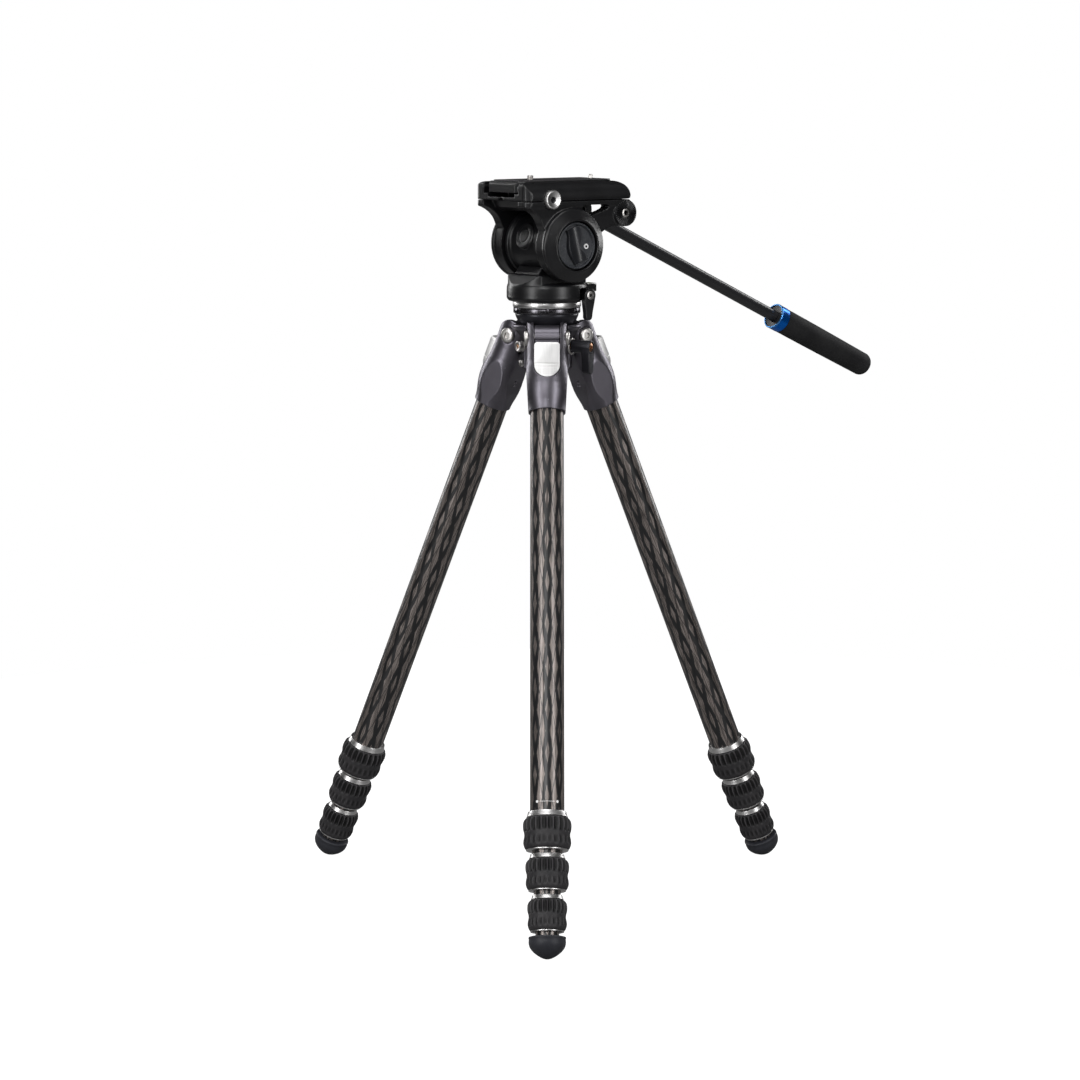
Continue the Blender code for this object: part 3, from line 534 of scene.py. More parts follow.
EAR_R = 15.0
EAR_HALF = 19.4
CASTING_END = 75.3
FACET_HALF = 19.0
FACET_LEAN = 3.0
PIN_END = 22.0
PIN_HEAD_R = 7.3
TAB_HALF = 12.2
TAB_TOP = 10.6
TAB_END = 44.8
TAB_OUTER = 20.4
TAB_INNER = 12.6
TUBE_RADII = (16.0, 14.0, 12.4, 10.9)
TUBE_TOPS = (48.0, 53.0, 58.0, 63.0)
LOCK_TOPS = (464.6, 504.7, 542.6)
LOCK_ENDS = (497.7, 535.2, 573.0)
LOCK_DROP = (2.4, 1.0, 0.8)
LOCK_RADII = (22.6, 20.3, 18.5)
COLLAR_TOPS = (458.3, 499.6, 538.0)
FOOT_TOP = 577.2
FOOT_R = 17.4
LEG_LENGTH = 597.8


def casting():
    body = lathed([
        (0, EAR_R + 2), (EAR_HALF, EAR_R + 2), (EAR_HALF, -14), (EAR_HALF + 0.2, -20), (19.9, -26), (20.9, -32),
        (21.7, -38), (22.1, -44), (22.1, -50), (21.5, -56), (20.4, -61.5), (19.3, -66), (18.6, -70), (18.3,
                                                                                                      -73),
        (18.2, -CASTING_END), (0, -CASTING_END),
    ], 120)
    outline = [(18.4, -CASTING_END - 1), (17.6, -58), (16.2, -46), (EAR_R + 0.3, -6)]
    outline += arc(0, 0, EAR_R, 0, 180, 32) + [(-EAR_R, 0)]
    outline += [(-EAR_R - 0.5, -5), (-EAR_R - 1.7, -10), (-18.3, -18), (-20.0, -26), (-21.4, -34), (-22.4, -44),
                (-23, -56), (-23, -CASTING_END - 1)]
    body = common(body, end_on(flat(outline, -30, 30)))
    slot = block((-12.7, -40, -EAR_R + 1), (12.7, 40, 40))
    pocket = arc(0, -TAB_END + TAB_HALF, TAB_HALF + 0.8, 180, 360, 32) + [(TAB_HALF + 0.8, 0),
                                                                          (-TAB_HALF - 0.8, 0)]
    pocket = side_on(flat(pocket, TAB_INNER - 0.5, 40))
    bore = cylinder(16.3, -CASTING_END - 5, -47.7, 96)
    pin_bore = moved(cylinder(5.3, -40, 40), turn=(0, 90, 0))
    grub = moved(cylinder(1.5, 12.5, 30, 24), (0, 0, -45), (-90, 0, 0))
    cutters = [slot, pocket, bore, pin_bore, grub]
    for sign in (-1, 1):
        turn = (0, FACET_LEAN, 0 if sign > 0 else 180)
        cutters.append(moved(block((0, -40, -30), (20, 40, 40)), (sign * FACET_HALF, 0, -52), turn))
        cutters.append(moved(cylinder(PIN_HEAD_R + 1.0, EAR_HALF - 1.2, 40), turn=(0, 90 * sign, 0)))
    return cast(cut(body, *cutters), 0.5, 3, 0.6)


def hinge_pin():
    seat = EAR_HALF - 0.9
    head = [(5.0, PIN_END), (6.2, PIN_END - 0.25), (7.0, PIN_END - 0.9), (PIN_HEAD_R, PIN_END - 1.6),
            (PIN_HEAD_R, seat), (5.0, seat)]
    pin = lathed([(0, PIN_END)] + head + [(r, -z) for r, z in reversed(head)] + [(0, -PIN_END)], 64)
    sockets = [hexagon(2.7, low, low + 6) for low in (PIN_END - 2.2, -PIN_END - 3.8)]
    chamfers = [moved(lathed([(0, 1.2), (3.4, 1.2), (2.5, 0), (0, 0)], 48), (0, 0, sign * (PIN_END - 0.6)),
                      (0 if sign > 0 else 180, 0, 0)) for sign in (1, -1)]
    return smoothed(moved(cut(pin, *sockets, *chamfers), turn=(0, 90, 0)), 30)


def angle_tab():
    """A stop with rounded corners, a thumb groove, and fine ridges on its lower part."""
    radius = 2.8
    outline = arc(0, -TAB_END + TAB_HALF, TAB_HALF, 180, 360, 40)
    outline += arc(TAB_HALF - radius, -TAB_TOP - radius, radius, 0, 90, 8)
    outline += arc(-TAB_HALF + radius, -TAB_TOP - radius, radius, 90, 180, 8)
    tab = side_on(flat(outline, TAB_INNER, TAB_OUTER))
    marks = [block((-20, -TAB_OUTER - 1, -32.4), (20, -TAB_OUTER + 1.4, -31.2))]
    for i in range(7):
        top = -33.8 - 1.3 * i
        marks.append(block((-20, -TAB_OUTER - 1, top - 0.6), (20, -TAB_OUTER + 0.45, top)))
    return crisp(cut(tab, *marks), 0.12, 2, 30)


def leg_tube(section):
    radius = TUBE_RADII[section]
    top = -TUBE_TOPS[section]
    inner = radius - (1.4 if section == 0 else 1.1)
    end = -FOOT_TOP - 9.0 if section == 3 else -LOCK_TOPS[section] - 20.7
    return smoothed(lathed([(radius, top), (radius, end), (inner, end), (inner, top)], 96, ring=True))


def collar(section):
    """The silver shoulder above a twist lock."""
    radius = TUBE_RADII[section]
    top = -COLLAR_TOPS[section] - 1.3 * LOCK_DROP[section]
    end = -LOCK_TOPS[section] - LOCK_DROP[section] + 0.4
    nut = LOCK_RADII[section]
    tall = top - end
    rows = [(radius + 0.15, top), (nut - 4.7, top - 0.15), (nut - 4.5, top - 0.5),
            (nut - 4.1, top - 0.55 * tall),
            (nut - 3.5, top - 0.85 * tall), (nut - 3.35, end + 0.2), (nut - 3.5, end), (radius + 0.15, end)]
    return smoothed(lathed(rows, 96, ring=True), 40)


def twist_lock(section):
    """Ribbed rubber: deep flutes round the upper half, a plain waist, and short shallow flutes below."""
    top = -LOCK_TOPS[section] - LOCK_DROP[section]
    end = -LOCK_ENDS[section] + 1.1
    length = top - end
    r = LOCK_RADII[section]
    narrow = TUBE_RADII[section + 1] + 0.35
    wide = TUBE_RADII[section] + 0.35
    shape = [
        (0.0, -3.6, 0), (0.01, -3.0, 0), (0.03, -2.3, 0.2), (0.05, -1.6, 1.2), (0.08, -1.0, 2.0), (0.13, -0.4,
                                                                                                   2.4),
        (0.20, -0.05, 2.5), (0.27, 0.0, 2.5), (0.33, -0.1, 2.4), (0.38, -0.3, 2.1), (0.42, -0.6, 1.5),
        (0.45, -0.85, 0.7), (0.48, -1.1, 0), (0.53, -1.25, 0), (0.58, -1.25, 0), (0.61, -1.1, 0.3),
        (0.65, -0.8, 0.9), (0.71, -0.5, 1.2), (0.77, -0.35, 1.2), (0.82, -0.4, 1.0), (0.86, -0.65, 0.4),
        (0.91, -1.1, 0), (0.96, -1.8, 0), (0.985, -2.4, 0), (1.0, -3.1, 0),
    ]
    rows = [(r + inset, top - share * length, depth) for share, inset, depth in shape]
    step = top - 21.0
    rows += [(narrow, end, 0), (narrow, step, 0), (wide, step, 0), (wide, top, 0)]
    return smoothed(lathed(rows, 384, ring=True, grooves=24), 60)


def end_ring(section):
    """The thin silver ring that closes a twist lock."""
    end = -LOCK_ENDS[section]
    r = LOCK_RADII[section] - 2.8
    narrow = TUBE_RADII[section + 1] + 0.35
    rows = [(r - 0.2, end + 1.05), (r, end + 0.85), (r, end + 0.2), (r - 0.25, end), (narrow, end),
            (narrow, end + 1.05)]
    return smoothed(lathed(rows, 96, ring=True), 40)


def foot():
    dome = [(r, -LEG_LENGTH + up) for r, up in (
        (17.3, 15.6), (17.1, 13.6), (16.7, 12.0), (15.9, 10.2), (14.6, 8.4), (13.0, 6.6), (11.0, 4.9), (8.8,
                                                                                                        3.3),
        (6.4, 1.9), (4.1, 0.8), (2.0, 0.2))]
    socket = TUBE_RADII[3] + 0.3
    rows = [(0, -FOOT_TOP - 9.6), (socket, -FOOT_TOP - 9.6), (socket, -FOOT_TOP)]
    rows += [(FOOT_R - 1.2, -FOOT_TOP), (FOOT_R - 0.3, -FOOT_TOP - 0.3), (FOOT_R, -FOOT_TOP - 1.0),
             (FOOT_R, -FOOT_TOP - 1.6), (FOOT_R - 0.35, -FOOT_TOP - 2.0)] + dome + [(0, -LEG_LENGTH)]
    return smoothed(lathed(rows, 96), 50)


def tube_mark():
    """Two small dots joined by a line, printed on the outside of the tube."""
    r = TUBE_RADII[0]
    dots = [radial(cylinder(1.3, r - 0.6, r + 0.06, 32), 90 + side * 36) for side in (-1, 1)]
    line = lathed([(r + 0.05, 0.15), (r + 0.05, -0.15), (r - 0.3, -0.15), (r - 0.3, 0.15)], 120, ring=True)
    wedge = flat([(0, 0)] + arc(0, 0, 22, 63, 117, 4), -2, 2)
    return moved(joined(common(line, wedge), *dots), (0, 0, -453.5), (0, 0, 180))


def build_legs():
    makers = {"casting": casting(), "pin": hinge_pin(), "tab": angle_tab(), "foot": foot(), "mark": tube_mark()}
    for section in range(4):
        makers[f"tube_{section + 1}"] = leg_tube(section)
    for section in range(3):
        makers[f"lock_{section + 1}"] = twist_lock(section)
        makers[f"collar_{section + 1}"] = collar(section)
        makers[f"ring_{section + 1}"] = end_ring(section)
    for side in SIDES:
        place = LEGS[side]
        section_bodies = [f"{side}_leg", f"{side}_section_2", f"{side}_section_3", f"{side}_section_4"]
        rows = [
            ("casting", "gunmetal", "gunmetal", section_bodies[0], f"{side}_leg_casting"),
            ("pin", "steel", "steel", section_bodies[0], f"{side}_leg_pin"),
            ("tab", "pale_silver", "silver", f"{side}_tab", f"{side}_angle_tab"),
            ("foot", "foot_rubber", "rubber", section_bodies[3], f"{side}_foot"),
        ]
        for i in range(4):
            rows.append((f"tube_{i + 1}", "carbon", "carbon", section_bodies[i], f"{side}_tube_{i + 1}"))
        for i in range(3):
            rows.append((f"lock_{i + 1}", "rubber", "rubber", f"{side}_lock_{i + 1}", f"{side}_lock_{i + 1}"))
            rows.append((f"collar_{i + 1}", "satin", "silver", section_bodies[i], None))
            rows.append((f"ring_{i + 1}", "satin", "silver", f"{side}_lock_{i + 1}", None))
        if side == "front":
            rows.append(("mark", "white_mark", "silver", section_bodies[0], None))
        for key, look, slot, body, node in rows:
            piece = copied(makers[key])
            settled = key.startswith(("foot", "lock", "ring"))
            if settled:
                piece.data = piece.data.copy()
                piece.data.transform(place)
            put(piece, f"{side}_{key}_fine", look, slot, Matrix() if settled else place, body,
                *([node] if node else []))
    for obj in makers.values():
        bpy.data.objects.remove(obj, do_unlink=True)


build_legs()


# ---------------------------------------------------------------- spider and levelling ball

HUB_TOP = 564.0
HUB_BOTTOM = 521.0
HUB_R = 27.0
PIN_OUT = 32.8
PIN_HEIGHT = point("front_leg_spread").z / MM
BALL_R = 32.5
CLAMP_TURN = -30.0
CLAMP_HEIGHT = 543.0
PORT_TURN = -150.0
PORT_SCREW_HEIGHT = 526.5


def spider():
    hub = lathed([
        (0, HUB_TOP), (32.4, HUB_TOP), (33.6, HUB_TOP - 0.5), (34.0, HUB_TOP - 1.6), (33.8, HUB_TOP - 3.0),
        (32.6, HUB_TOP - 5.0), (30.5, HUB_TOP - 7), (28.6, HUB_TOP - 9.4), (27.5, HUB_TOP - 11),
        (HUB_R, HUB_TOP - 13), (HUB_R, HUB_BOTTOM + 1.5), (HUB_R - 1.5, HUB_BOTTOM), (0, HUB_BOTTOM),
    ], 120)
    clearances = []
    lugs = []
    for turn in (0, 120, 240):
        around = (0, 0, turn)
        ear = moved(cylinder(EAR_R + 0.9, -EAR_HALF - 0.7, EAR_HALF + 0.7), (0, -PIN_OUT, PIN_HEIGHT),
                    (0, 90, 0))
        below = block((-23.2, -60, HUB_BOTTOM - 5), (23.2, -16.0, PIN_HEIGHT - 5))
        clearances += [moved(ear, turn=around), moved(below, turn=around)]
        outline = arc(-PIN_OUT, PIN_HEIGHT, 13.0, 100, 290, 40)
        outline += [(-17, PIN_HEIGHT - 13), (-12, PIN_HEIGHT - 20), (-12, HUB_TOP - 4), (-26, HUB_TOP - 1)]
        lug = end_on(flat(outline, -12.1, 12.1))
        notches = [block((-20, -60, z - 1.0), (20, -PIN_OUT - 11.2, z + 1.0))
                   for z in (HUB_TOP - 5.5, HUB_TOP - 12.5, HUB_TOP - 19)]
        lugs.append(moved(cut(lug, *notches), turn=around))
    hub = joined(cut(hub, *clearances), *lugs)
    cutters = [ball(BALL_R + 1.7, BALL_HEIGHT), cylinder(14.2, HUB_BOTTOM - 5, HUB_TOP),
               radial(cylinder(3.2, 8, 40, 32), CLAMP_TURN, CLAMP_HEIGHT),
               radial(cylinder(4.3, 8, 40, 32), PORT_TURN, CLAMP_HEIGHT)]
    return cast(cut(hub, *cutters), 0.5, 3, 0.6)


def build_spider():
    put(spider(), "spider_fine", "gunmetal", "gunmetal", ROOT, "spider", "spider")
    bolt = lathed([(0, 49.4), (3.6, 49.4), (4.3, 49.0), (4.4, 47.6), (2.9, 47.6), (2.9, 16), (0, 16)], 48)
    bolt = cut(bolt, hexagon(2.0, 47.9, 52))
    put(smoothed(radial(bolt, CLAMP_TURN, CLAMP_HEIGHT)), "clamp_bolt_fine", "brass", "steel", ROOT, "spider",
        "clamp_bolt")
    washer = lathed(arc(7.0, 28.0, 1.15, 0, 345, 23)[::-1], 64, ring=True)
    put(smoothed(radial(washer, CLAMP_TURN, CLAMP_HEIGHT), 80), "clamp_washer_fine", "steel", "steel", ROOT,
        "spider")
    hub = lathed([(3.2, 47.2), (4.8, 47.2), (4.8, 50.0), (5.8, 50.0), (6.4, 49.4), (6.4, 30.2), (5.8, 29.4),
                  (3.2, 29.4)], 64, ring=True)
    outline = arc(0, 0, 6.2, -90, 90, 24) + [(-6, 6.0), (-12, 5.3), (-23.2, 4.5)] + arc(-21.4, 0, 4.9, 130, 230,
                                                                                        8)
    outline += [(-23.2, -4.5), (-12, -5.3), (-6, -6.0)]
    arm = cut(flat([(-x, -y) for x, y in outline], 41.6, 49.6), cylinder(5.2, 30, 60, 48))
    lever = cast(radial(joined(hub, arm), CLAMP_TURN, CLAMP_HEIGHT), 0.35, 4, 0.7)
    put(lever, "clamp_lever_fine", "dark_metal", "gunmetal", ROOT, "clamp_lever", "clamp_lever")
    port = lathed([(0, 32.2), (2.4, 32.2), (2.8, 33.1), (4.2, 33.4), (4.9, 33.1), (5.2, 32.6), (5.2, 29.6),
                   (4.4, 29.0), (4.4, 28.2), (5.2, 27.8), (5.2, 27.4), (4.0, 27.4), (4.0, 17), (0, 17)], 48)
    put(smoothed(radial(port, PORT_TURN, CLAMP_HEIGHT), 30), "accessory_port_fine", "steel", "silver", ROOT,
        "spider", "accessory_port")
    insert = lathed([(0, 33.0), (1.5, 33.0), (2.2, 32.5), (2.2, 31.0), (0, 31.0)], 32)
    put(smoothed(radial(insert, PORT_TURN, CLAMP_HEIGHT), 30), "port_insert_fine", "brass", "silver", ROOT,
        "spider")
    screw = lathed([(0, 30.4), (1.6, 30.4), (3.0, 30.0), (3.4, 29.2), (3.4, 27.6), (2.8, 27.2), (2.8, 20),
                    (0, 20)],
                   48)
    screw = cut(screw, hexagon(1.5, 28.6, 32))
    put(smoothed(radial(screw, PORT_TURN, PORT_SCREW_HEIGHT), 30), "port_screw_1_fine", "steel", "silver", ROOT,
        "spider")


def build_level():
    curve = arc(0, 0, BALL_R, -19, -67, 16)
    bowl = [(5.4, -8.6), (30.6, -8.6), (30.9, -9.2)] + curve + [(11.5, -30.0), (5.4, -30.0)]
    put(smoothed(lathed(bowl, 120, ring=True), 40), "level_ball_fine", "dark_metal", "gunmetal", LEVEL, "level",
        "level_ball")
    ring = lathed([(5.4, -2.8), (31.6, -2.8), (32.4, -3.1), (32.6, -3.5), (32.6, -7.6), (32.3, -8.1),
                   (31.4, -8.3),
                   (5.4, -8.3)], 120, ring=True)
    notches = [moved(block((31.3, -1.4, -9), (36, 1.4, -2)), turn=(0, 0, 30 + 60 * i)) for i in range(6)]
    put(crisp(cut(ring, *notches), 0.15, 2, 40), "level_ring_fine", "polished", "gunmetal", LEVEL, "level")
    disc = [(5.4, 3.4), (32.2, 3.4), (32.9, 3.15), (33.2, 2.5), (33.2, -1.6), (32.9, -2.25), (32.2, -2.5),
            (5.4, -2.5)]
    put(smoothed(lathed(disc, 120, ring=True), 40), "level_disc_fine", "satin", "silver", LEVEL, "level",
        "level_disc")
    axle = [(0, 16.5), (5.0, 16.5), (5.0, -30.4), (6.2, -30.4), (6.4, -30.8), (6.4, -35.0), (6.0, -36.0),
            (5.4, -36.5), (0, -36.5)]
    axle = cut(lathed(axle, 64), hexagon(3.2, -40, -33))
    put(smoothed(axle, 30), "pan_axle_fine", "steel", "steel", LEVEL, "level", "pan_axle")


build_spider()
build_level()


# ---------------------------------------------------------------- pan housing and drum

DECK_HEIGHT = 604.0
HOUSING_R = 38.5
DRUM_R = 28.0
FLANGE_R = 31.0
PAN_LOCK = (25.5, 592.4)
BUBBLE_PLACE = (46, -6, 0)


def pan_housing():
    low = BALL_HEIGHT + 3.8
    base = lathed([
        (0, DECK_HEIGHT), (35.5, DECK_HEIGHT), (37.4, DECK_HEIGHT - 0.5), (38.5, DECK_HEIGHT - 1.8),
        (39.0, DECK_HEIGHT - 4), (39.2, DECK_HEIGHT - 8), (39.2, low + 3.2), (38.8, low + 2.0), (37.2, low), (0,
                                                                                                              low),
    ], 120)
    slope = [(-38.4, DECK_HEIGHT - 5), (38, DECK_HEIGHT - 5), (36, DECK_HEIGHT - 0.6), (28, 610.5), (20, 612.5),
             (-20, 612.5), (-28.5, 612.3), (-37.6, DECK_HEIGHT - 0.6)]
    neck = [(-24, 600), (24, 600), (22, 614), (18.5, 621), (-18.5, 621), (-24, 614)]
    pedestal = joined(side_on(flat(slope, -26.8, 26.8)), side_on(flat(neck, -19, 19)))
    base = joined(base, common(pedestal, cylinder(HOUSING_R - 0.6, 560, 660, 96)))
    arm = flat(arc(0, 0, 8, -90, 90, 32) + [(-26, 8), (-26, -8)], 594, 601.5)
    base = joined(base, moved(arm, BUBBLE_PLACE))
    cutters = [
        moved(cylinder(DRUM_R + 0.3, -24, 24, 120), (0, 0, TILT_HEIGHT), (90, 0, 0)),
        cylinder(5.4, low - 2, low + 13.2),
        block((12.5, -60, low - 2), (60, -12.6, 599.4)),
        moved(cylinder(5.6, 597, 610), BUBBLE_PLACE),
        moved(moved(cylinder(3.2, -20, 0, 32), (PAN_LOCK[0], 0, PAN_LOCK[1]), (-90, 0, 0)), (0, 2, 0)),
        lathed([(41, 593.0), (41, 592.2), (38.8, 592.2), (38.8, 593.0)], 120, ring=True),
    ]
    return cast(cut(base, *cutters), 0.55, 4, 0.5)


def tilt_drum():
    half = [(0, 42.8), (9.6, 42.8), (9.6, 27.6), (FLANGE_R - 1.0, 27.6), (FLANGE_R - 0.3, 27.3),
            (FLANGE_R, 26.6),
            (FLANGE_R, 23.8), (FLANGE_R - 0.4, 23.0), (DRUM_R + 0.4, 21.6), (DRUM_R, 20.6)]
    drum = side_on(lathed(half + [(r, -z) for r, z in reversed(half)], 120))
    cover = lathed([(0, 29.0), (6.2, 29.0), (6.6, 28.8), (6.8, 28.4), (7.2, 28.4), (7.6, 28.8), (11.4, 28.9),
                    (12.4, 28.6), (12.9, 28.0), (13.0, 20), (0, 20)], 96)
    return cast(joined(drum, moved(cover, turn=(0, -72, 0))), 0.5, 2, 0.5)


def build_pan():
    put(pan_housing(), "pan_housing_fine", "black_metal", "black_metal", PAN, "pan", "pan_housing")
    place = PAN @ Matrix.Translation((0, 0, TILT_HEIGHT * MM))
    put(tilt_drum(), "tilt_drum_fine", "black_metal", "black_metal", place, "pan", "tilt_drum")
    vial = lathed([(0, 602.5), (2.2, 602.45), (3.6, 602.2), (4.4, 601.7), (4.5, 597.6), (0, 597.6)], 64)
    put(smoothed(moved(vial, BUBBLE_PLACE), 50), "bubble_vial_fine", "spirit", "spirit", PAN, "pan",
        "bubble_level")
    rim = lathed([(4.6, 602.1), (5.2, 602.1), (5.4, 601.8), (5.4, 597.6), (4.6, 597.6)], 64, ring=True)
    put(smoothed(moved(rim, BUBBLE_PLACE), 50), "bubble_rim_fine", "silver", "spirit", PAN, "pan")
    cap = flat(arc(0, 0, 7.2, -90, 90, 32) + [(-6.5, 7.2), (-6.5, -7.2)], 601.35, 601.85,
               [arc(0, 0, 5.7, 0, 352.5, 47)])
    put(crisp(moved(cap, BUBBLE_PLACE), 0.12), "bubble_plate_fine", "silver", "silver", PAN, "pan")
    lock = PAN @ Matrix.Translation((PAN_LOCK[0] * MM, 0, PAN_LOCK[1] * MM))
    shaft = lathed([(0, 29.9), (5.1, 29.9), (5.5, 29.5), (5.5, 13.8), (5.1, 13.4), (2.9, 13.4), (2.9, 2.4),
                    (0, 2.4)],
                   120)
    ribs = lathed([(5.75, 28.8, 0.0), (5.9, 28.4, 0.5), (5.9, 15.0, 0.5), (5.75, 14.6, 0.0), (4.5, 14.6, 0),
                   (4.5, 28.8, 0)], 144, ring=True, grooves=24)
    put(smoothed(side_on(ribs), 50), "pan_lock_ribs_fine", "black_plastic", "black_plastic", lock,
        "pan_lock")
    outline = arc(0, 0, 6.7, 0, 180, 32) + [(-6.6, -4), (-5.9, -10), (-4.9, -16)] + arc(-1, -20.6, 3.8, 195,
                                                                                        350, 16)
    outline += [(3.5, -16), (4.9, -10), (6.1, -4)]
    head = lathed([(0, 36.6), (5.6, 36.6), (6.5, 36.2), (6.8, 35.4), (6.8, 30.4), (5.5, 29.6), (0, 29.6)], 96)
    dish = cylinder(4.5, 36.0, 40)
    arm = cast(side_on(cut(joined(head, flat(outline, 30.4, 36.0), shaft), dish)), 0.35, 4, 0.7)
    put(arm, "pan_lock_lever_fine", "black_plastic", "black_plastic", lock, "pan_lock", "pan_lock_lever")
    screw = lathed([(0, 37.0), (3.2, 37.0), (4.0, 36.7), (4.2, 36.2), (4.2, 35.2), (0, 35.2)], 48)
    screw = cut(screw, hexagon(1.9, 35.9, 38))
    put(smoothed(side_on(screw), 30), "pan_lock_screw_fine", "steel", "steel", lock, "pan_lock")


build_pan()


# ---------------------------------------------------------------- cradle and platform

FRONT_END = -55.5
SEAM = 43.0
RAIL_TOP = 60.6
PLATFORM_HALF = 43.0
HANDLE_PIVOT = (64.0, 29.5)
ROSETTE_R = 13.0
ROSETTE_FACE = 40.0
ROSETTE_OUT = 43.4
BOSS_RIM_R = 35.6
BOSS_RING_R = 26.0
BOSS_OUT = 50.0
KNOB_R = 22.3
KNOB_FLOOR = 43.5
BAR_HALF = 7.4
CHEEK_IN = 28.2
BUTTON_PLACE = (-25.5, 44.5)
PLATE_LOCK_PLACE = (20.0, 50.5)
KNOB_DOT_PLACE = (13.2, -1.0, 0)


def tilt_place(x, z):
    """The tilting frame, shifted along its length and height."""
    return TILT @ Matrix.Translation((x * MM, 0, z * MM))


def cheek_outline():
    x, z = HANDLE_PIVOT
    outline = [(FRONT_END, SEAM - 0.4), (FRONT_END, 38.4), (FRONT_END + 1, 37.2), (-49.5, 35.5), (-45.4, 33.4),
               (-42, 31), (-39.2, 28.4), (-37, 25.5), (-35.2, 22.2), (-34, 19)]
    outline += arc(0, 0, 34.5, 155, 372, 80)
    outline += [(35.4, 9.6), (37.5, 11.5), (40.5, 13.4), (44, 15), (48, 16.3), (52, 17.0)]
    outline += arc(x, z, ROSETTE_R - 0.2, -95, 60, 32)
    return outline + [(x + 4, SEAM - 0.4)]


def window_outline():
    """The long opening under the platform, narrowing forwards above the drum's boss."""
    return [(11.5, 33.0), (11.7, 35.0), (12.0, 36.5), (13.0, 37.8), (14.5, 38.4), (40.5, 38.4), (42.4, 38.1),
            (43.5, 37.4), (44.0, 36.5), (44.0, 35.6), (43.0, 34.6), (40.5, 33.4), (36.5, 31.9), (32.0, 30.6),
            (25.0, 28.6), (20.0, 27.5)]


def corner_cutters():
    """What rounds the platform's two front corners, seen from above."""
    corner = [(FRONT_END - 2, 44), (FRONT_END - 2, 36.0), (FRONT_END, 36.0), (FRONT_END + 1.2, 39.2),
              (FRONT_END + 3.6, 41.6), (FRONT_END + 7.5, 43.2), (FRONT_END + 9, 44)]
    return [flat([(x, sign * y) for x, y in corner], 30, 60) for sign in (-1, 1)]


def cradle():
    cheeks = side_on(flat(cheek_outline(), -PLATFORM_HALF, PLATFORM_HALF, [window_outline()]))
    section = mirrored([(38.2, -40), (39.2, 20), (39.6, 27), (40.4, 32), (41.2, 35.4), (42.4, 38.4),
                        (PLATFORM_HALF, SEAM)])
    cheeks = common(cheeks, end_on(flat(section, -70, 90)))
    opening = [(-90, -60), (90, -60), (90, 38.8), (20, 38.8), (13, 32.6), (-33, 32.6), (-41, 36), (-46, 44),
               (-90, 44)]
    body = cut(cheeks, side_on(flat(opening, -CHEEK_IN, CHEEK_IN)))
    boss = [(0, BOSS_OUT), (BOSS_RING_R - 1.0, BOSS_OUT), (BOSS_RING_R - 0.2, BOSS_OUT - 0.4),
            (BOSS_RING_R + 0.6, BOSS_OUT - 1.1), (BOSS_RIM_R - 1.4, 44.8), (BOSS_RIM_R - 0.4, 43.9),
            (BOSS_RIM_R, 42.8), (BOSS_RIM_R, 41.2), (BOSS_RIM_R - 0.6, 39.8), (33.5, 37.6), (33.5, 30), (0, 30)]
    body = joined(body, *[moved(lathed(boss, 120), turn=(turn, 0, 0)) for turn in (90, -90)])
    x, z = HANDLE_PIVOT
    bx, bz = BUTTON_PLACE
    cutters = [side_on(tool) for tool in (cylinder(KNOB_R + 1.6, KNOB_FLOOR - 0.4, 60, 96),
                                                         cylinder(10.0, 20, 60))]
    cutters += [far_side_on(tool) for tool in (cylinder(14.6, KNOB_FLOOR - 0.4, 60, 96),
                                                           cylinder(10.0, 20, 60))]
    cutters.append(moved(cylinder(4.2, -60, 60), (x, 0, z), (90, 0, 0)))
    cutters.append(moved(cylinder(9.5, 33.0, 60), (bx, 0, bz), (90, 0, 0)))
    spot_face = moved(cylinder(ROSETTE_R + 0.5, ROSETTE_FACE, 60), (x, 0, z), (-90, 0, 0))
    disc = lathed([(0, ROSETTE_OUT - 1.6), (ROSETTE_R - 0.5, ROSETTE_OUT - 1.6), (ROSETTE_R, ROSETTE_OUT - 2.1),
                   (ROSETTE_R, 36.0), (0, 36.0)], 96)
    cutters += corner_cutters()
    body = joined(cut(body, spot_face), moved(disc, (x, 0, z), (90, 0, 0)))
    return cast(cut(body, *cutters), 0.6, 3, 0.5)


def receiver():
    side = [(FRONT_END, SEAM + 0.2), (66, SEAM + 0.2), (68.6, SEAM + 0.6), (69.4, SEAM + 1.6)]
    side += arc(55.2, 46.4, 14.2, 0, 84, 24)
    side += [(FRONT_END + 4.5, RAIL_TOP), (FRONT_END + 1.8, RAIL_TOP - 0.9), (FRONT_END + 0.4, RAIL_TOP - 2.6),
             (FRONT_END, RAIL_TOP - 5)]
    body = side_on(flat(side, -PLATFORM_HALF, PLATFORM_HALF))
    wall = arc(29.9, 47.5, 13.1, -18, 86, 24)
    section = mirrored([(PLATFORM_HALF, SEAM)] + wall + [(29.4, RAIL_TOP), (28.5, RAIL_TOP - 0.8),
                                                         (28.5, 57.6), (27.2, 56.6), (27.2, 54.9), (28.6,
                                                                                                    49.5)])
    body = common(body, end_on(flat(section, -80, 90)))
    cutters = corner_cutters()
    for sign in (-1, 1):
        for x in (-41.0, 49.0):
            cutters.append(moved(cylinder(4.0, 57.2, 70, 48), (x, sign * 29.4, 0)))
    cutters.append(block((-70, -22, 46.4), (-30, 22, 50.4)))
    cutters.append(end_on(flat(arc(0, SEAM - 3.2, 6.0, 0, 345, 23), -70, -50)))
    bx, bz = BUTTON_PLACE
    cutters.append(moved(cylinder(9.5, 33.0, 60), (bx, 0, bz), (90, 0, 0)))
    x, z = PLATE_LOCK_PLACE
    cutters.append(moved(cylinder(3.3, 20, 60, 32), (x, 0, z), (-90, 0, 0)))
    return cast(cut(body, *cutters), 0.55, 3, 0.5)


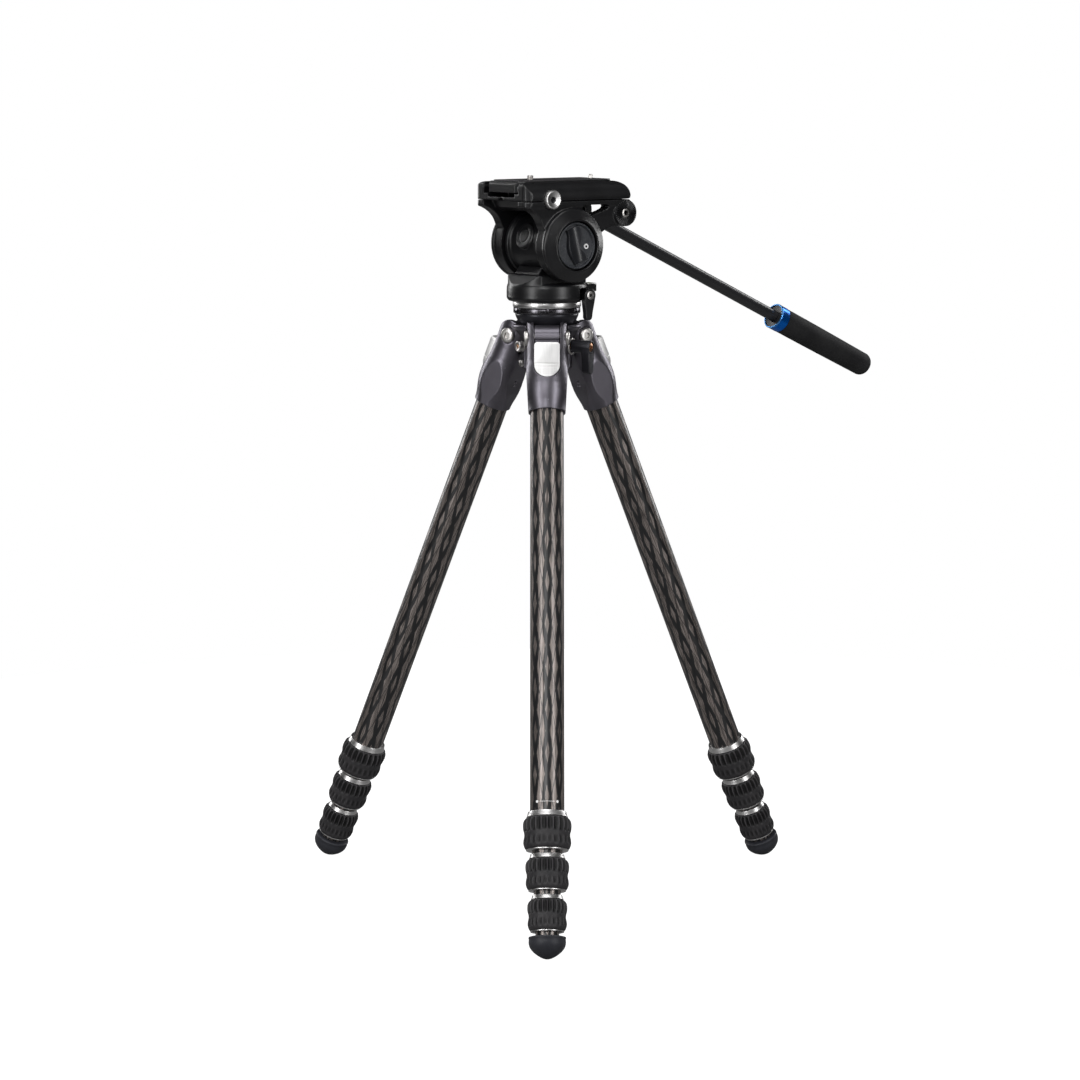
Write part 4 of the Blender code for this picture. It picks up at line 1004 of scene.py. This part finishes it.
def rosette(name, sign):
    """A ring of radial teeth round a silver threaded insert."""
    place = tilt_place(*HANDLE_PIVOT)
    bm = bmesh.new()
    count = 36
    rings = [(4.9, -0.9), (5.6, 0.0), (12.0, 0.0), (12.8, -0.8), (12.8, -2.6), (4.9, -2.6)]
    loops = []
    for radius, height in rings:
        loop = []
        for i in range(count * 4):
            t = 2 * math.pi * i / (count * 4)
            dip = 1.15 * (0.5 - 0.5 * math.cos(count * t)) if height > -0.1 else 0.0
            loop.append(bm.verts.new((radius * math.cos(t) * MM, radius * math.sin(t) * MM,
                                      (height - dip) * MM)))
        loops.append(loop)
    for upper, lower in zip(loops, loops[1:] + loops[:1]):
        for i in range(len(upper)):
            j = (i + 1) % len(upper)
            bm.faces.new((upper[i], lower[i], lower[j], upper[j]))
    bmesh.ops.recalc_face_normals(bm, faces=bm.faces)
    turn = (90, 0, 0) if sign < 0 else (-90, 0, 0)
    teeth = moved(moved(from_bmesh(bm), (0, 0, ROSETTE_OUT)), turn=turn)
    put(smoothed(teeth, 35), f"{name}_teeth_fine", "black_metal", "black_metal", place, "tilt")
    insert = lathed([(r, z + ROSETTE_OUT) for r, z in (
        (2.3, -2.4), (2.6, -0.7), (3.8, -0.7), (4.4, -1.1), (4.4, -3.6), (2.3, -3.6))], 64, ring=True)
    put(smoothed(moved(insert, turn=turn), 35), f"{name}_insert_fine", "steel", "steel", place, "tilt")


def drag_knob():
    base = lathed([(0, 45.4), (19.4, 45.4), (20.2, 46.0), (20.6, 47.9), (21.2, 48.3), (21.9, 48.1),
                   (KNOB_R, 47.3),
                   (KNOB_R, KNOB_FLOOR), (0, KNOB_FLOOR)], 120)
    put(smoothed(side_on(base), 30), "drag_knob_fine", "speckled", "black_plastic", TILT, "drag_knob",
        "tilt_drag_knob")
    spine = [(20.5, -5.8), (17, -4.7), (13.5, -3.2), (10, -2.1), (6, -2.1), (2, -2.6), (-1, -2.6), (-4, -1.9),
             (-8, 0.6), (-12, 3.5), (-16, 5.6), (-21, 7.4)]
    sides = [[], []]
    for (x0, y0), (x1, y1), (x2, y2) in zip(spine, spine[1:], spine[2:]):
        away = Vector((y0 - y2, x2 - x0)).normalized() * BAR_HALF
        sides[0].append((x1 + away.x, y1 + away.y))
        sides[1].append((x1 - away.x, y1 - away.y))
    outline = [(y, x) for x, y in sides[0] + sides[1][::-1]]
    bar = common(flat(outline, 44.5, 49.7), cylinder(20.1, 40, 60, 96))
    trough = moved(cylinder(11.0, -40, 40, 96), (0, -1.2, 57.4), (90, 0, 14))
    bar = cast(cut(bar, trough), 0.35, 4, 0.7)
    put(side_on(bar), "drag_knob_bar_fine", "satin_black", "black_plastic", TILT, "drag_knob")
    mark = lathed([(1.3, 45.75), (2.5, 45.75), (2.6, 45.3), (1.4, 45.3)], 48, ring=True)
    put(smoothed(side_on(moved(mark, KNOB_DOT_PLACE))), "drag_knob_mark_fine", "white_mark",
        "black_plastic", TILT, "drag_knob")
    screw = lathed([(0, 46.1), (0.7, 46.1), (1.05, 45.8), (1.05, 45.3), (0, 45.3)], 24)
    put(smoothed(side_on(moved(screw, KNOB_DOT_PLACE))), "drag_knob_dot_fine", "gloss_black",
        "black_plastic", TILT, "drag_knob")


def build_cradle():
    put(cradle(), "cradle_fine", "black_metal", "black_metal", TILT, "tilt", "cradle")
    put(receiver(), "receiver_fine", "black_metal", "black_metal", TILT, "tilt", "receiver")
    rosette("near_rosette", -1)
    drag_knob()
    hub = lathed([(0, 57.6), (7.4, 57.6), (8.8, 57.2), (9.6, 56.2), (9.6, 50.6), (13.4, 50.4), (14.0, 49.8),
                  (14.0, KNOB_FLOOR), (0, KNOB_FLOOR)], 96)
    outline = arc(0, 0, 9.0, 90, 270, 32) + [(14, -7.6), (28, -6.4)] + arc(33.4, -2, 4.3, -80, 80, 16)
    outline += [(28, 2.6), (14, 6.0)]
    lever = cast(far_side_on(joined(hub, flat(outline, 51.0, 57.0))), 0.4, 4, 0.6)
    put(lever, "tilt_lock_fine", "black_plastic", "black_plastic", TILT, "tilt_lock", "tilt_lock_lever")
    button = lathed([(0, 42.6), (2.6, 42.6), (3.0, 44.6), (3.6, 44.9), (5.6, 45.3), (7.0, 46.0), (7.9, 46.2),
                     (8.6, 45.9), (9.0, 45.0), (9.0, 36.4), (0, 36.4)], 96)
    place = tilt_place(*BUTTON_PLACE)
    put(smoothed(side_on(button), 40), "safety_button_fine", "satin", "chrome", place, "button",
        "safety_button")
    # A gloss-black disc at the bottom of the button's hole is painted shade inside the hole.
    recess = lathed([(0, 43.4), (2.9, 43.4), (2.9, 42.2), (0, 42.2)], 48)
    put(smoothed(side_on(recess)), "safety_button_hole_shade_fine", "gloss_black", "chrome", place, "button")
    knob = lathed([(0, 57, 0), (6.6, 57, 0), (7.8, 56.6, 0.3), (8.4, 55.6, 0.8), (8.4, 48, 0.8),
                   (7.6, 45.6, 0.2),
                   (7.2, 44.2, 0), (3.0, 44.2, 0), (3.0, 31, 0), (0, 31, 0)], 144, grooves=12)
    wing = block((-13.0, -2.4, 48.0), (0, 2.4, 56.0))
    place = tilt_place(*PLATE_LOCK_PLACE)
    knob = cast(far_side_on(joined(knob, wing)), 0.35, 3, 0.7)
    put(knob, "plate_lock_fine", "black_plastic", "black_plastic", place, "plate_screw", "plate_lock")


build_cradle()


# ---------------------------------------------------------------- camera plate

PLATE_FRONT = -54.0
PIN_PLACE = 53.0
SCREW_PLACE = -20.0
SCREW_TRAVEL = 32.0


def slot_outline(radius, steps):
    """The slot along which the camera screw can be set."""
    end = SCREW_PLACE + SCREW_TRAVEL
    return arc(SCREW_PLACE, 0, radius, 90, 270, steps) + arc(end, 0, radius, -90, 90, steps)


def build_plate():
    section = mirrored([(28.1, 49.9), (28.1, 50.6), (26.6, 54.8), (26.6, 57.2), (27.5, 58.2), (27.5, 61.2)])
    body = end_on(flat(section, -60, 70))
    side = [(PLATE_FRONT, 50.6), (59, 50.6), (59, 58.4), (56.2, 61.2), (PLATE_FRONT + 2.6, 61.2),
            (PLATE_FRONT, 58.4)]
    body = common(body, side_on(flat(side, -40, 40)))
    corner = [(PLATE_FRONT - 3, 29), (PLATE_FRONT - 3, 20.5), (PLATE_FRONT, 20.5), (PLATE_FRONT + 5.5, 25.5),
              (PLATE_FRONT + 9, 29)]
    corners = [flat([(x, sign * y) for x, y in corner], 40, 70) for sign in (1, -1)]
    slots = [flat(slot_outline(3.7, 24), 40, 70), flat(slot_outline(9.2, 32), 40, 55.6),
             moved(cylinder(2.4, 40, 70, 48), (PIN_PLACE, 0, 0))]
    body = cast(cut(body, *corners, *slots), 0.45, 2, 0.5)
    put(body, "camera_plate_fine", "black_metal", "black_metal", TILT, "plate", "camera_plate")
    stud = arc(PIN_PLACE, 0, 3.4, 0, 352.5, 47)
    pad = flat([(-44, -24.5), (58, -24.5), (58, 24.5), (-44, 24.5), (-48, 21), (-48, -21)], 61.25, 62.3,
               [slot_outline(6.0, 24), stud])
    grooves = [block((-60, y - 0.35, 61.9), (80, y + 0.35, 63)) for y in (2.45 * i for i in range(-9, 10))]
    put(crisp(cut(pad, *grooves), 0.1, 1), "plate_pad_fine", "rubber", "rubber", TILT, "plate", "plate_pad")
    threads = [(2.6 + 0.5 * (i % 2), 65.9 - 0.45 * i) for i in range(24)]
    screw = lathed([(0, 66.2), (2.3, 66.2)] + threads + [(3.1, 55.2), (8.2, 55.2), (8.6, 54.9), (8.6, 51.5),
                                                         (8.2, 51.2), (0, 51.2)], 64)
    slit = block((-12, -0.6, 50), (12, 0.6, 52.4))
    place = tilt_place(SCREW_PLACE, 0)
    put(smoothed(cut(screw, slit), 25), "camera_screw_fine", "steel", "steel", place, "camera_screw",
        "camera_screw")
    pin = lathed([(0, 66.0), (1.4, 66.0), (1.9, 65.7), (2.1, 65.2), (2.1, 50.4), (0, 50.4)], 48)
    put(smoothed(moved(pin, (PIN_PLACE, 0, 0)), 35), "index_pin_fine", "steel", "steel", TILT, "plate",
        "index_pin")


build_plate()


# ---------------------------------------------------------------- pan handle

ROD_SIDE = 52.5
ROD_RISE = 6.0
ROD_R = 6.1
ROD_START = 38.6
GRIP_START = 296.0
GRIP_END = 441.0
GRIP_R = 13.2


def build_handle():
    rod_line = (0, ROD_SIDE, ROD_RISE)
    along = (0, 90, 0)
    clamp = lathed([(0, 61.0), (10.8, 61.0), (12.2, 60.6), (ROSETTE_R, 59.4), (ROSETTE_R, 42.0), (12.6, 41.0),
                    (12.6, 40.3), (0, 40.3)], 96)
    bar = block((0, 46.5, -7.0), (42.0, 58.5, 0.5))
    socket = moved(cylinder(7.6, 34.0, 47.0), rod_line, along)
    clamp = joined(far_side_on(clamp), bar, socket)
    bore = moved(cylinder(ROD_R + 0.2, ROD_START - 0.2, 60), rod_line, along)
    clamp = cast(cut(clamp, bore, far_side_on(cylinder(4.2, 20, 80))), 0.45, 4, 0.6)
    put(clamp, "handle_clamp_fine", "black_metal", "black_metal", HANDLE, "handle", "handle_clamp")
    rod = lathed([(0, GRIP_END - 16), (ROD_R, GRIP_END - 16), (ROD_R, ROD_START), (0, ROD_START)], 64)
    put(smoothed(moved(rod, rod_line, along)), "handle_rod_fine", "black_metal", "black_metal", HANDLE,
        "handle",
        "handle_rod")
    start = GRIP_START
    bore_r = ROD_R + 0.15
    band = [(bore_r, start + 11.6), (13.1, start + 11.6), (13.45, start + 11.2), (13.45, start + 1.8),
            (13.2, start + 1.5), (bore_r, start + 1.5)]
    put(smoothed(moved(lathed(band, 96, ring=True), rod_line, along), 30), "grip_ring_fine", "blue", "blue",
        HANDLE,
        "handle", "grip_ring")
    rim = [(12.2, start + 1.6), (13.3, start + 1.45), (13.6, start + 1.1), (13.6, start + 0.5), (13.2, start),
           (12.2, start)]
    put(smoothed(moved(lathed(rim, 96, ring=True), rod_line, along), 50), "grip_ring_rim_fine", "blue_rim",
        "blue",
        HANDLE, "handle")
    face = [(bore_r, start + 2.2), (12.15, start + 2.2), (12.15, start + 0.9), (bore_r, start + 1.3)]
    put(smoothed(moved(lathed(face, 96, ring=True), rod_line, along), 50), "grip_ring_face_fine",
        "black_plastic",
        "blue", HANDLE, "handle")
    taper = [(GRIP_R - 0.9 + 0.9 * math.sin(math.pi * i / 16), GRIP_END - 16 - i * 14.5) for i in range(8)]
    grip = [(0, GRIP_END), (4, GRIP_END - 0.1)]
    grip += [(12.3 * math.sin(math.radians(t)) ** 0.75, GRIP_END - 9 + 9 * math.cos(math.radians(t)))
             for t in range(20, 91, 7)]
    grip += taper + [(GRIP_R, start + 14), (GRIP_R - 0.3, start + 12.2), (bore_r, start + 12.2),
                     (bore_r, GRIP_END - 15.7), (0, GRIP_END - 15.7)]
    put(smoothed(moved(lathed(grip, 96), rod_line, along), 60), "handle_grip_fine", "foam", "foam", HANDLE,
        "handle",
        "handle_grip")
    knob = lathed([(0, 76, 0), (8.8, 76, 0), (10.2, 75.6, 0.3), (11, 74.2, 0.7), (11, 65, 0.7),
                   (9.6, 61.6, 0.2),
                   (9.2, 61.3, 0), (3.8, 61.3, 0), (3.8, 30, 0), (0, 30, 0)], 144, grooves=12)
    wings = block((-19, -2.6, 65), (19, 2.6, 74))
    knob = cast(far_side_on(joined(knob, wings)), 0.45, 5, 0.6)
    put(knob, "handle_knob_fine", "black_plastic", "black_plastic", HANDLE, "handle_knob", "handle_knob")


build_handle()


# ---------------------------------------------------------------- the hidden clamp shoe keeps its own shape

shoe = frame["nodes"]["clamp_shoe"].data
shoe.materials.clear()
shoe.materials.append(LOOKS["black_plastic"])


# ---------------------------------------------------------------- floor, light and camera

def area_light(name, place, target, width, height, power):
    data = bpy.data.lights.new(name, "AREA")
    data.shape = "RECTANGLE"
    data.size = width
    data.size_y = height
    data.energy = power
    light = bpy.data.objects.new(name, data)
    light.location = place
    light.rotation_euler = (Vector(target) - Vector(place)).to_track_quat("-Z", "Y").to_euler()
    bpy.context.scene.collection.objects.link(light)


FLOOR_R = 1300
DIM = 0.02
AIM_HEIGHT = 0.4
LENS = 105.9
CAMERA_SHIFT = (-0.0067, -3.090, 0.817)
CAMERA_DOWN = 8.58


def seen_strength(tree):
    """Full strength where the camera looks straight at it, and very little as a light on the object."""
    seen = tree.nodes.new("ShaderNodeLightPath").outputs["Is Camera Ray"]
    strength = tree.nodes.new("ShaderNodeMapRange")
    tree.links.new(seen, strength.inputs["Value"])
    strength.inputs["To Min"].default_value = DIM
    strength.inputs["To Max"].default_value = 1.0
    return strength.outputs[0]


def build_studio():
    floor = lathed([(0, 0), (FLOOR_R, 0), (FLOOR_R, -20), (0, -20)], 160)
    floor.name = "floor"
    g = Graph("pale_floor", (0.25, 0.25, 0.25), 0.85, specular=0.05)
    g.link(g.mix(g.noise(2.0, 2.0), (0.245, 0.245, 0.245), (0.255, 0.255, 0.255)), "Base Color")
    g.set("Emission Color", (1, 1, 1, 1))
    g.link(seen_strength(g.tree), "Emission Strength")
    floor.data.materials.append(g.material)
    x, y, _ = ROOT.translation
    floor.location = (x, y, 0)

    world = bpy.data.worlds.new("studio")
    world.use_nodes = True
    tree = world.node_tree
    background = tree.nodes["Background"]
    tree.links.new(seen_strength(tree), background.inputs["Strength"])
    background.inputs["Color"].default_value = (1, 1, 1, 1)
    bpy.context.scene.world = world

    middle = (x, y, AIM_HEIGHT)
    area_light("left_softbox", (x - 1.75, y - 1.85, 0.95), middle, 0.6, 1.9, 27)
    area_light("right_softbox", (x + 1.8, y - 1.8, 0.95), middle, 0.6, 1.9, 25)
    area_light("front_softbox", (x - 0.5, y - 2.7, 1.75), middle, 1.0, 0.8, 17)
    area_light("top_softbox", (x - 0.2, y - 0.5, 2.3), middle, 1.6, 1.4, 22)
    area_light("back_left_softbox", (x - 1.7, y + 1.5, 1.2), middle, 0.5, 1.6, 18)
    area_light("back_right_softbox", (x + 1.7, y + 1.5, 1.2), middle, 0.5, 1.6, 18)

    data = bpy.data.cameras.new("camera")
    data.sensor_width = 36.0
    data.lens = LENS
    data.clip_start = 0.05
    data.clip_end = 200.0
    camera = bpy.data.objects.new("camera", data)
    camera.location = Vector((x, y, 0)) + Vector(CAMERA_SHIFT)
    camera.rotation_euler = (math.radians(90 - CAMERA_DOWN), 0, 0)
    bpy.context.scene.collection.objects.link(camera)
    bpy.context.scene.camera = camera
    bpy.context.scene.view_settings.view_transform = "Standard"


build_studio()
